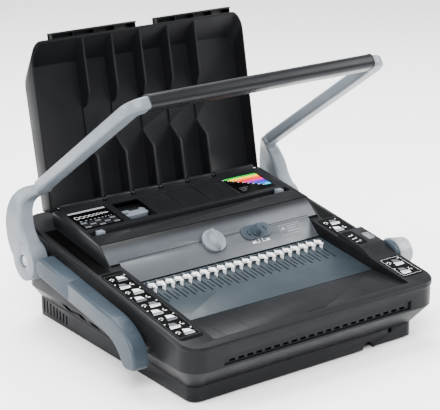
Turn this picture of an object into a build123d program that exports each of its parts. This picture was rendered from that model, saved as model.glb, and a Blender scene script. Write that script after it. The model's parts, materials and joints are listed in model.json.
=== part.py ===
from build123d import *
from math import acos, atan, cos, hypot, pi, radians, sin, sqrt, tan
import os

os.makedirs("parts", exist_ok=True)

# A desktop comb and wire binding machine, in millimetres.
# X runs across the machine, right seen from the front, and X = 0 is its mid-plane.
# Y runs to the back and Z up. Z = 0 is the bench that the feet stand on.

# ---------------------------------------------------------------- driving sizes
# Binding row, 9/16 inch pitch
comb_pitch = 14.2875
comb_count = 21

# Upper housing
shell_half_width = 210.0
shell_front = -206.0
shell_back = 212.0
shell_corner = 30.0
shell_wall = 3.0
lip_height = 8.0
lip_overhang = 1.5
deck_height = 118.3
deck_slope = 0.15
skirt_top = 53.0
seam_height = 26.0
seam_slope = 0.02
well_half_width = shell_half_width - 47.0
rim_depth = 14.0
well_wall_foot = 82.0
platform_height = 6.0
platform_front = -85.0
platform_back = -40.0
platform_toe = -117.0
window_x = shell_half_width - 11.0
window_y = -66.0
label_x = shell_half_width - 24.0

# Base tray
base_half_width = shell_half_width - 21.4
base_front = shell_front + 28.2
base_back = shell_back - 3.7
base_corner = 14.5
base_bottom = 2.0
base_floor = 3.5
base_wall = 5.0
base_lip = 5.0
foot_radius = 9.0
foot_x = base_half_width - 23.6
foot_front_y = base_front + 29.8
foot_back_y = base_back - 26.3
screw_x = base_half_width - 14.6
screw_front_y = base_front + 9.8
screw_back_y = base_back - 13.3
screw_post_radius = 4.2
vent_count = 9
vent_pitch = 8.76
vent_width = 3.2

# Comb plate, fascia and tray
plate_back_y = -2.0
plate_back_z = 101.0
plate_front_y = -117.5
plate_front_z = 86.3
plate_thickness = 3.0
fascia_angle = 40.9
fascia_thickness = 3.0
fascia_parting = 36.5
fascia_top = 68.5
tray_half_width = shell_half_width - 29.0
tray_height = 138.9
tray_slope = 0.14
tray_front = 50.0
tray_back = 168.0
tray_wall = 2.5
trough_y = 85.0
trough_width = 12.0
trough_depth = 8.3
trough_half_length = tray_half_width - 9.0
paper_gap = 3.2
cell_pitch = 48.0
cell_front = 100.0
cell_back = 155.0
cell_rib = 4.0
deep_cell_depth = 12.0

# Lid, a shallow box that leans back when it is open
lid_half_width = tray_half_width + 1.0
lid_foot_y = 171.4
lid_foot_z = 163.1
lid_lean = 10.53
lid_length = 234.0
lid_fold = lid_length - 34.0
lid_depth_foot = 23.0
lid_depth_top = 26.0
lid_wall = 2.5
lid_corner = 18.0
hinge_y = 172.0
hinge_z = 164.2
hinge_rod_radius = 2.0

# Handle
pivot_y = 160.0
pivot_z = 104.0
hub_radius = 28.0
hub_inner_x = shell_half_width + 2.0
hub_thickness = 24.0
arm_inner_x = shell_half_width - 22.0
arm_width = 25.0
arm_height = 16.5
arm_bend_radius = 17.5
bar_y = -75.0
bar_z = 371.0
bar_depth = 26.0
bar_height = 20.0
shaft_radius = 6.0

# Comb lever
lever_inner_x = shell_half_width + 3.6
lever_thickness = 22.4
lever_y = -104.0
lever_z = 56.0
lever_shaft_radius = 5.0

# Size dial
dial_y = -95.0
dial_z = 91.0
dial_radius = 23.0
dial_rim_radius = 19.5
dial_outer_x = shell_half_width + 32.0
dial_shaft_radius = 4.0

# Front panel controls, placed on the fascia by X and by the way up its slope
knob_x = -9.0
knob_up = 34.0
knob_radius = 18.0
knob_height = 13.5
selector_x = 66.0
selector_up = 33.5
selector_length = 52.0
selector_width = 23.0

# Drives: every rack moves by the same travel for each radian of its pinion
drive_module = 2.0
drive_teeth = 17
small_module = 1.0
small_teeth = 16
dial_teeth = 14
drum_teeth = 34
drum_drop = 6.5
drum_pin_radius = 3.0
drum_radius = 19.0
pressure_angle = radians(20)
tooth_backlash = 0.6
addendum = 0.8
dedendum = 1.1

# Frame and punch
frame_inner_x = well_half_width + shell_wall
frame_thickness = 3.0
frame_front = 60.0
frame_back = 185.0
frame_top = 123.0
drive_gear_width = 6.0
die_front = 63.0
die_bottom = 98.0
die_top = 122.0
stripper_thickness = 5.4
pin_width = 3.0
pin_height = 8.0
pin_z = 112.0
punch_bar_y = 112.0
punch_bar_depth = 12.0

# Fits
running_fit = 0.05
moving_gap = 0.3
seam_gap = 0.3
seat_gap = 0.1
pin_fit = 0.3

# ---------------------------------------------------------------- worked-out places
row_half = comb_pitch * (comb_count - 1) / 2
shell_mid_y = (shell_front + shell_back) / 2
shell_depth = shell_back - shell_front
base_mid_y = (base_front + base_back) / 2
base_depth = base_back - base_front
side_half_width = shell_half_width - lip_overhang
well_front = shell_front + rim_depth
floor_top = base_bottom + base_floor
paper_front = trough_y - paper_gap / 2
paper_back = trough_y + paper_gap / 2
punch_half_length = frame_inner_x - 10.0
gear_inner_x = punch_half_length
outer_gear_x = frame_inner_x + frame_thickness + 2.0
pitch_radius = drive_module * drive_teeth / 2
small_radius = small_module * small_teeth / 2
# The drum's gear meshes with the dial gear, lower and to the back of it
drum_distance = small_module * (dial_teeth + drum_teeth) / 2
drum_y = dial_y + sqrt(drum_distance**2 - drum_drop**2)
drum_z = dial_z - drum_drop
mesh_angle = -atan(drum_drop / (drum_y - dial_y))
drum_space = pi + mesh_angle + pi / drum_teeth
flap_y = plate_front_y - 2
flap_z = plate_front_z - 1.5
flap_pin_radius = 1.5
drawer_half_width = well_half_width - 11
drawer_gap_half = drawer_half_width + 0.5
drawer_back = base_back - 3
post_x = 19.6 - base_half_width
slope_angle = radians(fascia_angle)
lean = radians(lid_lean)


def deck(y):
    """Height of the sloping deck at Y."""
    return deck_height + deck_slope * y


def tray(y):
    """Height of the sloping tray top at Y."""
    return tray_height + tray_slope * y


deck_plane = Plane(origin=(0, 0, deck_height), x_dir=(1, 0, 0), z_dir=(0, -deck_slope, 1))
seam_plane = Plane(origin=(0, 0, seam_height), x_dir=(1, 0, 0), z_dir=(0, -seam_slope, 1))
tray_plane = Plane(origin=(0, 0, tray_height), x_dir=(1, 0, 0), z_dir=(0, -tray_slope, 1))
tray_stretch = hypot(1, tray_slope)
plate_run = plate_back_y - plate_front_y
plate_rise = plate_back_z - plate_front_z
plate_slope = plate_rise / plate_run
plate_length = hypot(plate_run, plate_rise)
plate_plane = Plane(
    origin=(0, plate_back_y, plate_back_z), x_dir=(1, 0, 0), z_dir=(0, -plate_slope, 1)
)
fascia_plane = Plane(
    origin=(0, plate_back_y, plate_back_z),
    x_dir=(1, 0, 0),
    z_dir=(0, -sin(slope_angle), cos(slope_angle)),
)


def lid_plane(x):
    """Section plane of the lid at X: first axis out of the lid, second axis up it."""
    return Plane(
        origin=(x, lid_foot_y, lid_foot_z), x_dir=(0, -cos(lean), sin(lean)), z_dir=(-1, 0, 0)
    )


def block(x0, x1, y0, y1, z0, z1, mode=Mode.ADD):
    """A box between two corners, put into the part being built."""
    with Locations(((x0 + x1) / 2, (y0 + y1) / 2, (z0 + z1) / 2)):
        Box(x1 - x0, y1 - y0, z1 - z0, mode=mode)


def rod_x(x0, x1, y, z, radius, mode=Mode.ADD):
    """A round bar or bore along X, put into the part being built."""
    with Locations(Location(((x0 + x1) / 2, y, z), (0, 90, 0))):
        Cylinder(radius, x1 - x0, mode=mode)


def gear_points(module, teeth, centre, first_tooth):
    """Outline of a spur gear with involute flanks; first_tooth is one tooth's angle."""
    pitch = module * teeth / 2
    base = pitch * cos(pressure_angle)
    root = pitch - dedendum * module
    tip = pitch + addendum * module
    half_pitch = (pi * module / 2 - tooth_backlash / 2) / (2 * pitch)
    start = max(base, root)
    steps = 5
    flank = [(root, None)] if root < base else []
    flank += [(start + (tip - start) * i / steps, 1) for i in range(steps + 1)]
    points = []
    for tooth in range(teeth):
        middle = first_tooth + 2 * pi * tooth / teeth
        half = []
        for radius, _ in flank:
            angle = acos(min(1.0, base / max(radius, base)))
            spread = tan(pressure_angle) - pressure_angle - tan(angle) + angle
            half.append((radius, half_pitch + spread))
        for radius, spread in half:
            points.append((radius, middle - spread))
        for radius, spread in reversed(half):
            points.append((radius, middle + spread))
    return [(centre[0] + r * cos(a), centre[1] + r * sin(a)) for r, a in points]


def rack_points(module, first, last, body):
    """Outline of a rack with its pitch line on the first axis and teeth up the second.

    A space lies at 0, and teeth are counted by half pitches from first to last.
    """
    step = pi * module
    half = (pi * module / 2 - tooth_backlash / 2) / 2
    lean_in = tan(pressure_angle)
    points = []
    for tooth in range(first, last):
        middle = (tooth + 0.5) * step
        points.append((middle - half - dedendum * module * lean_in, -dedendum * module))
        points.append((middle - half + addendum * module * lean_in, addendum * module))
        points.append((middle + half - addendum * module * lean_in, addendum * module))
        points.append((middle + half + dedendum * module * lean_in, -dedendum * module))
    bottom = -dedendum * module - body
    points.append((last * step, -dedendum * module))
    points.append((last * step, bottom))
    points.append((first * step, bottom))
    points.append((first * step, -dedendum * module))
    return points


# ---------------------------------------------------------------- upper housing
with BuildPart() as housing_lip:
    with BuildSketch(Plane.XY.offset(skirt_top)):
        with Locations((0, shell_mid_y)):
            RectangleRounded(2 * shell_half_width, shell_depth, shell_corner)
    extrude(amount=2 * deck_height)
    split(bisect_by=deck_plane, keep=Keep.BOTTOM)
    split(bisect_by=deck_plane.offset(-lip_height), keep=Keep.TOP)
    fillet(housing_lip.faces().sort_by(Axis.Z)[-1].edges(), 2.5)

with BuildPart() as housing_cavity:
    with BuildSketch(Plane.XY.offset(skirt_top)):
        with Locations((0, shell_mid_y)):
            RectangleRounded(
                2 * (side_half_width - shell_wall),
                shell_depth - 2 * (lip_overhang + shell_wall),
                shell_corner - lip_overhang - shell_wall,
            )
    extrude(amount=2 * deck_height)
    split(bisect_by=deck_plane.offset(-shell_wall), keep=Keep.BOTTOM)
    with BuildSketch(Plane.XY.offset(skirt_top)):
        with Locations((0, shell_mid_y)):
            RectangleRounded(
                2 * (side_half_width - shell_wall),
                shell_depth - 2 * (lip_overhang + shell_wall),
                shell_corner - lip_overhang - shell_wall,
            )
    with BuildSketch(seam_plane):
        with Locations((0, base_mid_y)):
            RectangleRounded(
                2 * (base_half_width - shell_wall), base_depth - 2 * shell_wall, base_corner - shell_wall
            )
    loft()
    extrude(housing_cavity.faces().sort_by(Axis.Z)[0], amount=10)

with BuildPart() as upper_housing:
    with BuildSketch(Plane.XY.offset(skirt_top)):
        with Locations((0, shell_mid_y)):
            RectangleRounded(
                2 * side_half_width, shell_depth - 2 * lip_overhang, shell_corner - lip_overhang
            )
    extrude(amount=2 * deck_height)
    split(bisect_by=deck_plane.offset(-lip_height / 2), keep=Keep.BOTTOM)
    with BuildSketch(Plane.XY.offset(skirt_top)):
        with Locations((0, shell_mid_y)):
            RectangleRounded(
                2 * side_half_width, shell_depth - 2 * lip_overhang, shell_corner - lip_overhang
            )
    with BuildSketch(seam_plane):
        with Locations((0, base_mid_y)):
            RectangleRounded(2 * base_half_width, base_depth, base_corner)
    loft()
    add(housing_lip.part)
    add(housing_cavity.part, mode=Mode.SUBTRACT)
    # Well for the binding deck, open under the tray as well
    block(-well_half_width, well_half_width, well_front, tray_back, 70, 170, mode=Mode.SUBTRACT)
    # Walls down both sides of the well and behind the front rim
    with BuildSketch(Plane.YZ.offset(well_half_width)):
        with BuildLine():
            Polyline(
                (well_front, well_wall_foot),
                (tray_front + 2, well_wall_foot),
                (tray_front + 2, deck(tray_front + 2) - 1),
                (well_front, deck(well_front) - 1),
                close=True,
            )
        make_face()
    extrude(amount=shell_wall)
    mirror(upper_housing.solids()[0], about=Plane.YZ)
    block(
        -well_half_width - shell_wall,
        well_half_width + shell_wall,
        well_front - shell_wall,
        well_front,
        well_wall_foot,
        deck(well_front) - 1,
    )
    # Raised platform with the size window on the right rail
    with BuildSketch(Plane.YZ.offset(well_half_width + 1.5)):
        with BuildLine():
            l1 = Line(
                (platform_back, deck(platform_back) - 2),
                (platform_back, deck(platform_back) + platform_height),
            )
            l2 = Line(l1 @ 1, (platform_front, deck(platform_front) + platform_height))
            l3 = Spline(
                l2 @ 1,
                (platform_toe, deck(platform_toe)),
                tangents=[(-1, -deck_slope), (-1, -deck_slope)],
            )
            l4 = Line(l3 @ 1, (platform_toe, deck(platform_toe) - 2))
            Line(l4 @ 1, l1 @ 0)
        make_face()
    extrude(amount=side_half_width - well_half_width - 1.5)
    # Pocket under the platform and window opening
    block(
        window_x - 13,
        side_half_width - shell_wall,
        drum_y - drum_radius - 1.5,
        drum_y + drum_radius + 1.5,
        90,
        drum_z + drum_radius + 2,
        mode=Mode.SUBTRACT,
    )
    block(window_x - 6, window_x + 6, window_y - 10, window_y + 10, 95, 125, mode=Mode.SUBTRACT)
    # Recess with the wire strip in the front face
    block(-157, 157, shell_front - 1, shell_front + 6, 56, 68, mode=Mode.SUBTRACT)
    # Posts for the base screws
    for y in (screw_front_y, screw_back_y):
        for x in (-screw_x, screw_x):
            with BuildSketch(Plane.XY.offset(20)):
                with Locations((x, y)):
                    Circle(screw_post_radius)
            extrude(amount=deck(y) - 21.5)
            with BuildSketch(Plane.XY.offset(20)):
                with Locations((x, y)):
                    Circle(1.5)
            extrude(amount=20, mode=Mode.SUBTRACT)
    # Shaft holes in the sides
    inside = side_half_width - 13.5
    outside = side_half_width + 11.5
    rod_x(-outside, -inside, pivot_y, pivot_z, shaft_radius + moving_gap, mode=Mode.SUBTRACT)
    rod_x(inside, outside, pivot_y, pivot_z, shaft_radius + moving_gap, mode=Mode.SUBTRACT)
    rod_x(-outside, -inside, lever_y, lever_z, lever_shaft_radius + moving_gap, mode=Mode.SUBTRACT)
    rod_x(inside, outside, dial_y, dial_z, dial_shaft_radius + moving_gap, mode=Mode.SUBTRACT)
    drum_bore = drum_pin_radius + running_fit
    rod_x(inside, side_half_width - 1.2, drum_y, drum_z, drum_bore, mode=Mode.SUBTRACT)
    # Pivot holes of the front flap in the well walls
    flap_end = well_half_width + 7.0
    rod_x(-flap_end, flap_end, flap_y, flap_z, flap_pin_radius + running_fit, mode=Mode.SUBTRACT)
    # Clip windows in the left skirt
    for y0, y1, z0, z1 in ((92, 112, 36, 52), (58, 76, 36, 50), (30, 52, 33, 42)):
        block(-outside, 8.6 - base_half_width, y0, y1, z0, z1, mode=Mode.SUBTRACT)
    rod_x(-outside, 8.6 - base_half_width, 84, 44, 4.5, mode=Mode.SUBTRACT)
    # Opening for the chip drawer at the back
    block(-drawer_gap_half, drawer_gap_half, base_back - 18, base_back + 12, 0, 44.2, mode=Mode.SUBTRACT)

upper_housing.part.label = "upper_housing"
export_step(upper_housing.part, "parts/upper_housing.step")

# ---------------------------------------------------------------- base tray
with BuildPart() as base_rim:
    with BuildSketch(Plane.XY.offset(floor_top)):
        with Locations((0, base_mid_y)):
            RectangleRounded(
                2 * (base_half_width - shell_wall - seam_gap),
                base_depth - 2 * (shell_wall + seam_gap),
                base_corner - shell_wall - seam_gap,
            )
    extrude(amount=60)
    split(bisect_by=seam_plane.offset(base_lip), keep=Keep.BOTTOM)

with BuildPart() as base_tray:
    with BuildSketch(Plane.XY.offset(base_bottom)):
        with Locations((0, base_mid_y)):
            RectangleRounded(2 * base_half_width, base_depth, base_corner)
    extrude(amount=60)
    split(bisect_by=seam_plane.offset(-seam_gap), keep=Keep.BOTTOM)
    add(base_rim.part)
    with BuildSketch(Plane.XY.offset(floor_top)):
        with Locations((0, base_mid_y)):
            RectangleRounded(
                2 * (base_half_width - base_wall), base_depth - 2 * base_wall, base_corner - base_wall
            )
    extrude(amount=60, mode=Mode.SUBTRACT)
    # Foot pockets and screw bosses
    with BuildSketch(Plane.XY.offset(base_bottom)):
        with Locations(*[(x, y) for x in (-foot_x, foot_x) for y in (foot_front_y, foot_back_y)]):
            Circle(foot_radius + seat_gap)
    extrude(amount=2, mode=Mode.SUBTRACT)
    screw_spots = [(x, y) for x in (-screw_x, screw_x) for y in (screw_front_y, screw_back_y)]
    with BuildSketch(Plane.XY.offset(floor_top)):
        with Locations(*screw_spots):
            Circle(screw_post_radius)
    extrude(amount=20 - seat_gap - floor_top)
    with BuildSketch(Plane.XY.offset(base_bottom)):
        with Locations(*screw_spots):
            Circle(3.8)
    extrude(amount=3, mode=Mode.SUBTRACT)
    with BuildSketch(Plane.XY.offset(base_bottom)):
        with Locations(*screw_spots):
            Circle(1.9)
    extrude(amount=20, mode=Mode.SUBTRACT)
    # Upright vents in the left wall, lower towards the front
    for i in range(vent_count):
        vent_y = 198.0 - vent_pitch * i
        vent_top = 28.7 - 0.11 * vent_pitch * i
        block(
            -base_half_width - 6,
            8.6 - base_half_width,
            vent_y - vent_width / 2,
            vent_y + vent_width / 2,
            8,
            vent_top,
            mode=Mode.SUBTRACT,
        )
    # Front wall: a round hole, a finger notch and a relieved bottom edge
    with BuildSketch(Plane.XZ.offset(-base_front - 10)):
        with Locations((144, 19)):
            Circle(3.5)
        with Locations((105, base_bottom)):
            Circle(9.5)
    extrude(amount=20, mode=Mode.SUBTRACT)
    block(118, base_half_width + 1, base_front - 1, base_front + 2, base_bottom, 5, mode=Mode.SUBTRACT)
    # Opening for the chip drawer and the post that carries the lever shaft
    block(
        -drawer_gap_half,
        drawer_gap_half,
        base_back - 18,
        base_back + 12,
        floor_top,
        60,
        mode=Mode.SUBTRACT,
    )
    block(post_x, post_x + 4, lever_y - 8, lever_y + 8, floor_top, lever_z + 12)
    rod_x(post_x - 6, post_x + 9, lever_y, lever_z, lever_shaft_radius + running_fit, mode=Mode.SUBTRACT)

base_tray.part.label = "base_tray"
export_step(base_tray.part, "parts/base_tray.step")

with BuildPart() as base_feet:
    with BuildSketch(Plane.XY):
        with Locations(*[(x, y) for x in (-foot_x, foot_x) for y in (foot_front_y, foot_back_y)]):
            Circle(foot_radius)
    extrude(amount=base_bottom + 2)
    chamfer(base_feet.faces().group_by(Axis.Z)[0].edges(), 0.8)

base_feet.part.label = "base_feet"
export_step(base_feet.part, "parts/base_feet.step")

with BuildPart() as base_screws:
    with BuildSketch(Plane.XY.offset(base_bottom + 0.6)):
        with Locations(*screw_spots):
            Circle(3.5)
    extrude(amount=2.4)
    with BuildSketch(Plane.XY.offset(base_bottom + 3)):
        with Locations(*screw_spots):
            Circle(1.4)
    extrude(amount=30)

base_screws.part.label = "base_screws"
export_step(base_screws.part, "parts/base_screws.step")

# ---------------------------------------------------------------- rail labels
label_plane = deck_plane.offset(0.02)
with BuildPart() as left_rail_label:
    with BuildSketch(label_plane):
        with Locations((-label_x, -84)):
            RectangleRounded(36, 192, 6)
    extrude(amount=0.4)

left_rail_label.part.label = "left_rail_label"
export_step(left_rail_label.part, "parts/left_rail_label.step")

with BuildPart() as right_rail_label:
    with BuildSketch(label_plane):
        with Locations((label_x, -11)):
            RectangleRounded(36, 46, 4)
        with Locations((label_x, -152)):
            RectangleRounded(36, 56, 4)
    extrude(amount=0.4)
    with BuildSketch(deck_plane.offset(platform_height + 0.02)):
        with Locations((label_x - 10, -63)):
            RectangleRounded(18, 38, 3)
    extrude(amount=0.4)

right_rail_label.part.label = "right_rail_label"
export_step(right_rail_label.part, "parts/right_rail_label.step")

# ---------------------------------------------------------------- comb plate
slot_spots = [(i - (comb_count - 1) / 2) * comb_pitch for i in range(comb_count)]
with BuildPart() as comb_plate:
    with BuildSketch(plate_plane):
        with Locations((0, -plate_length / 2)):
            Rectangle(2 * (well_half_width - moving_gap), plate_length)
        with Locations(*[(x, -11) for x in slot_spots]):
            Rectangle(2.4, 16, mode=Mode.SUBTRACT)
        with Locations(*[(x, -43) for x in slot_spots]):
            Rectangle(2.6, 36, mode=Mode.SUBTRACT)
        with Locations(*[(x + comb_pitch / 2, -46) for x in slot_spots[:-1]]):
            Rectangle(2.0, 18, mode=Mode.SUBTRACT)
    extrude(amount=-plate_thickness)
    block(
        -well_half_width + moving_gap,
        well_half_width - moving_gap,
        plate_front_y,
        plate_front_y + plate_thickness,
        60,
        plate_front_z - 1,
    )

comb_plate.part.label = "comb_plate"
export_step(comb_plate.part, "parts/comb_plate.step")

with BuildPart() as finger_comb:
    block(-row_half - 6, row_half + 6, -16, -4, 84, 88)
    for x in slot_spots:
        with BuildSketch(Plane.YZ.offset(x - 0.7)):
            with BuildLine():
                Polyline(
                    (-15, 87),
                    (-7, 87),
                    (-7, 103),
                    (-9, 104.5),
                    (-13, 104.5),
                    (-15, 102.5),
                    close=True,
                )
            make_face()
        extrude(amount=1.4)

finger_comb.part.label = "finger_comb"
export_step(finger_comb.part, "parts/finger_comb.step")

with BuildPart() as wire_anvil:
    block(-158, 158, plate_front_y - 8, plate_front_y, 62, 80)

wire_anvil.part.label = "wire_anvil"
export_step(wire_anvil.part, "parts/wire_anvil.step")

# ---------------------------------------------------------------- wire strip in the front
with BuildPart() as wire_holder_strip:
    block(-160, 160, shell_front + 4.6, shell_front + 6.6, 53.5, 70.5)
    for x in slot_spots:
        block(x - 4.6, x + 4.6, shell_front + 4, shell_front + 7, 58, 61.4, mode=Mode.SUBTRACT)

wire_holder_strip.part.label = "wire_holder_strip"
export_step(wire_holder_strip.part, "parts/wire_holder_strip.step")

# ---------------------------------------------------------------- fascia
with BuildPart() as lower_fascia:
    with BuildSketch(fascia_plane):
        with Locations((0, (2.4 + fascia_parting - 0.2) / 2)):
            Rectangle(2 * (well_half_width - moving_gap), fascia_parting - 0.2 - 2.4)
        with Locations((knob_x, knob_up)):
            Circle(dial_shaft_radius + moving_gap, mode=Mode.SUBTRACT)
        with Locations((selector_x, selector_up)):
            Circle(3 + moving_gap, mode=Mode.SUBTRACT)
    extrude(amount=-fascia_thickness)

lower_fascia.part.label = "lower_fascia"
export_step(lower_fascia.part, "parts/lower_fascia.step")

with BuildPart() as upper_fascia:
    with BuildSketch(fascia_plane):
        with Locations((0, (fascia_parting + fascia_top) / 2)):
            Rectangle(2 * (tray_half_width - tray_wall - seat_gap), fascia_top - fascia_parting)
        with Locations((knob_x, knob_up)):
            Circle(dial_shaft_radius + moving_gap, mode=Mode.SUBTRACT)
        with Locations((selector_x, selector_up)):
            Circle(3 + moving_gap, mode=Mode.SUBTRACT)
    extrude(amount=-fascia_thickness)

upper_fascia.part.label = "upper_fascia"
export_step(upper_fascia.part, "parts/upper_fascia.step")

with BuildPart() as selector_plate:
    with BuildSketch(fascia_plane.offset(seat_gap)):
        with Locations((selector_x, selector_up)):
            SlotOverall(selector_length, selector_width)
            Circle(3 + moving_gap, mode=Mode.SUBTRACT)
    extrude(amount=1.6)
    chamfer(selector_plate.faces().sort_by(Axis.Z)[-1].edges().sort_by(SortBy.LENGTH)[-4:], 0.4)

selector_plate.part.label = "selector_plate"
export_step(selector_plate.part, "parts/selector_plate.step")

# ---------------------------------------------------------------- tray
cheek_front = (deck_height - plate_back_z + tan(slope_angle) * plate_back_y) / (
    tan(slope_angle) - deck_slope
)
fin_spots = [cell_pitch * (i - 2) for i in range(5)]
tray_floor_z = tray(trough_y) - trough_depth

with BuildPart() as tray_housing:
    # Cheeks that follow the fascia, then the tray top and the back wall
    for side in (-1, 1):
        inner = side * (tray_half_width - tray_wall) if side > 0 else -tray_half_width
        with BuildSketch(Plane.YZ.offset(inner)):
            with BuildLine():
                Polyline(
                    (cheek_front, deck(cheek_front) + seat_gap),
                    (tray_front, tray(tray_front)),
                    (tray_back, tray(tray_back)),
                    (tray_back, deck(tray_back) + seat_gap),
                    close=True,
                )
            make_face()
        extrude(amount=tray_wall)
    with BuildSketch(Plane.YZ.offset(-tray_half_width)):
        with BuildLine():
            Polyline(
                (tray_front + 1, tray(tray_front + 1)),
                (tray_back, tray(tray_back)),
                (tray_back, deck(tray_back) + seat_gap),
                (tray_back - tray_wall, deck(tray_back - tray_wall) + seat_gap),
                (tray_back - tray_wall, tray(tray_back) - tray_wall),
                (tray_front + 3, tray(tray_front + 3) - tray_wall),
                close=True,
            )
        make_face()
    extrude(amount=2 * tray_half_width)
    # Paper trough with the slit that the sheets drop through
    trough_out = trough_width / 2 + tray_wall
    block(
        -trough_half_length - tray_wall,
        trough_half_length + tray_wall,
        trough_y - trough_out,
        trough_y + trough_out,
        tray_floor_z - tray_wall,
        tray(trough_y) - tray_wall / 2,
    )
    block(
        -trough_half_length,
        trough_half_length,
        trough_y - trough_width / 2,
        trough_y + trough_width / 2,
        tray_floor_z,
        tray(trough_y) + 5,
        mode=Mode.SUBTRACT,
    )
    block(
        -well_half_width,
        well_half_width,
        paper_front,
        paper_back,
        tray_floor_z - 5,
        tray_floor_z + 1,
        mode=Mode.SUBTRACT,
    )
    # One deep cell for the gauge tool, and shallow panels beside it
    block(
        -2 * cell_pitch,
        -cell_pitch,
        cell_front - 2,
        cell_back + 2,
        tray(cell_front) - 14,
        tray(cell_front) - 1,
    )
    with BuildSketch(tray_plane):
        with Locations((-1.5 * cell_pitch, (cell_front + cell_back) / 2 * tray_stretch)):
            Rectangle(cell_pitch - cell_rib, (cell_back - cell_front) * tray_stretch)
    extrude(amount=-deep_cell_depth, mode=Mode.SUBTRACT)
    with BuildSketch(tray_plane):
        for i in range(3):
            with Locations(((i - 0.5) * cell_pitch, (cell_front + cell_back) / 2 * tray_stretch)):
                RectangleRounded(cell_pitch - cell_rib, (cell_back - cell_front) * tray_stretch, 2)
    extrude(amount=-1.2, mode=Mode.SUBTRACT)
    # Knuckles for the lid rod, with a notch at each lid fin
    ends = [-tray_half_width + 11] + fin_spots + [tray_half_width - 11]
    for i in range(len(ends) - 1):
        x0 = ends[i] + (4 if i else 0)
        x1 = ends[i + 1] - (4 if i < len(ends) - 2 else 0)
        rod_x(x0, x1, hinge_y, hinge_z, 4.2)
        block(x0, x1, tray_back - 1, hinge_y, hinge_z - 12, hinge_z + 2)
    rod_x(-tray_half_width, tray_half_width, hinge_y, hinge_z, hinge_rod_radius, mode=Mode.SUBTRACT)
    # Two small nubs in front of the trough
    for x in (-113, 113):
        with BuildSketch(tray_plane):
            with Locations((x, 74.5 * tray_stretch)):
                Circle(2)
        extrude(amount=0.7)

tray_housing.part.label = "tray_housing"
export_step(tray_housing.part, "parts/tray_housing.step")

label_middle = (cell_front + cell_back) / 2 * tray_stretch
with BuildPart() as tray_label_left:
    with BuildSketch(tray_plane.offset(0.02)):
        with Locations((43 - tray_half_width, label_middle)):
            RectangleRounded(64, (cell_back - cell_front) * tray_stretch, 3)
    extrude(amount=0.3)

tray_label_left.part.label = "tray_label_left"
export_step(tray_label_left.part, "parts/tray_label_left.step")

with BuildPart() as tray_label_right:
    with BuildSketch(tray_plane.offset(0.02)):
        with Locations((tray_half_width - 50, label_middle)):
            RectangleRounded(64, (cell_back - cell_front) * tray_stretch, 3)
    extrude(amount=0.3)

tray_label_right.part.label = "tray_label_right"
export_step(tray_label_right.part, "parts/tray_label_right.step")

with BuildPart() as lid_hinge_rod:
    rod_x(-tray_half_width + 9, tray_half_width - 9, hinge_y, hinge_z, hinge_rod_radius)

lid_hinge_rod.part.label = "lid_hinge_rod"
export_step(lid_hinge_rod.part, "parts/lid_hinge_rod.step")

# ---------------------------------------------------------------- frame and die
for name, side in (("side_frame_left", -1), ("side_frame_right", 1)):
    with BuildPart() as side_frame:
        near = frame_inner_x if side > 0 else -frame_inner_x - frame_thickness
        foot = frame_inner_x - 10 if side > 0 else -frame_inner_x
        with BuildSketch(Plane.YZ.offset(near)):
            with BuildLine():
                Polyline(
                    (frame_front, floor_top),
                    (frame_back, floor_top),
                    (frame_back, frame_top - 15),
                    (frame_back - 15, frame_top),
                    (frame_front, frame_top),
                    close=True,
                )
            make_face()
            with Locations((pivot_y, pivot_z)):
                Circle(9, mode=Mode.SUBTRACT)
            with Locations((100, 70), (175, 60)):
                Circle(5, mode=Mode.SUBTRACT)
        extrude(amount=frame_thickness)
        block(foot, foot + 10, frame_front, frame_back, floor_top, floor_top + 3)
    side_frame.part.label = name
    export_step(side_frame.part, "parts/" + name + ".step")

with BuildPart() as shaft_bushes:
    for x in (-frame_inner_x - frame_thickness - 1, frame_inner_x - 1):
        rod_x(x, x + frame_thickness + 2, pivot_y, pivot_z, 9)
        rod_x(x - 1, x + 7, pivot_y, pivot_z, shaft_radius + running_fit, mode=Mode.SUBTRACT)

shaft_bushes.part.label = "shaft_bushes"
export_step(shaft_bushes.part, "parts/shaft_bushes.step")

with BuildPart() as frame_tie_rods:
    for y, z in ((100, 70), (175, 60)):
        rod_x(-frame_inner_x - frame_thickness, frame_inner_x + frame_thickness, y, z, 5)

frame_tie_rods.part.label = "frame_tie_rods"
export_step(frame_tie_rods.part, "parts/frame_tie_rods.step")

with BuildPart() as die_block:
    block(-frame_inner_x, frame_inner_x, die_front, paper_front, die_bottom, die_top)
    for x in slot_spots:
        block(
            x - pin_width / 2 - pin_fit,
            x + pin_width / 2 + pin_fit,
            die_front - 1,
            paper_front + 1,
            pin_z - pin_height / 2 - pin_fit,
            pin_z + pin_height / 2 + pin_fit,
            mode=Mode.SUBTRACT,
        )

die_block.part.label = "die_block"
export_step(die_block.part, "parts/die_block.step")

with BuildPart() as stripper_plate:
    block(
        -frame_inner_x, frame_inner_x, paper_back, paper_back + stripper_thickness, die_bottom, die_top
    )
    for x in slot_spots:
        block(
            x - pin_width / 2 - pin_fit,
            x + pin_width / 2 + pin_fit,
            paper_back - 1,
            paper_back + stripper_thickness + 1,
            pin_z - pin_height / 2 - pin_fit,
            pin_z + pin_height / 2 + pin_fit,
            mode=Mode.SUBTRACT,
        )

stripper_plate.part.label = "stripper_plate"
export_step(stripper_plate.part, "parts/stripper_plate.step")

# ---------------------------------------------------------------- punch carriage
with BuildPart() as punch_bar:
    block(
        -punch_half_length,
        punch_half_length,
        punch_bar_y,
        punch_bar_y + punch_bar_depth,
        pin_z - 8,
        pin_z + 8,
    )

punch_bar.part.label = "punch_bar"
export_step(punch_bar.part, "parts/punch_bar.step")

with BuildPart() as punch_pins:
    for x in slot_spots:
        block(
            x - pin_width / 2,
            x + pin_width / 2,
            paper_back + 1.4,
            punch_bar_y,
            pin_z - pin_height / 2,
            pin_z + pin_height / 2,
        )

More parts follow.
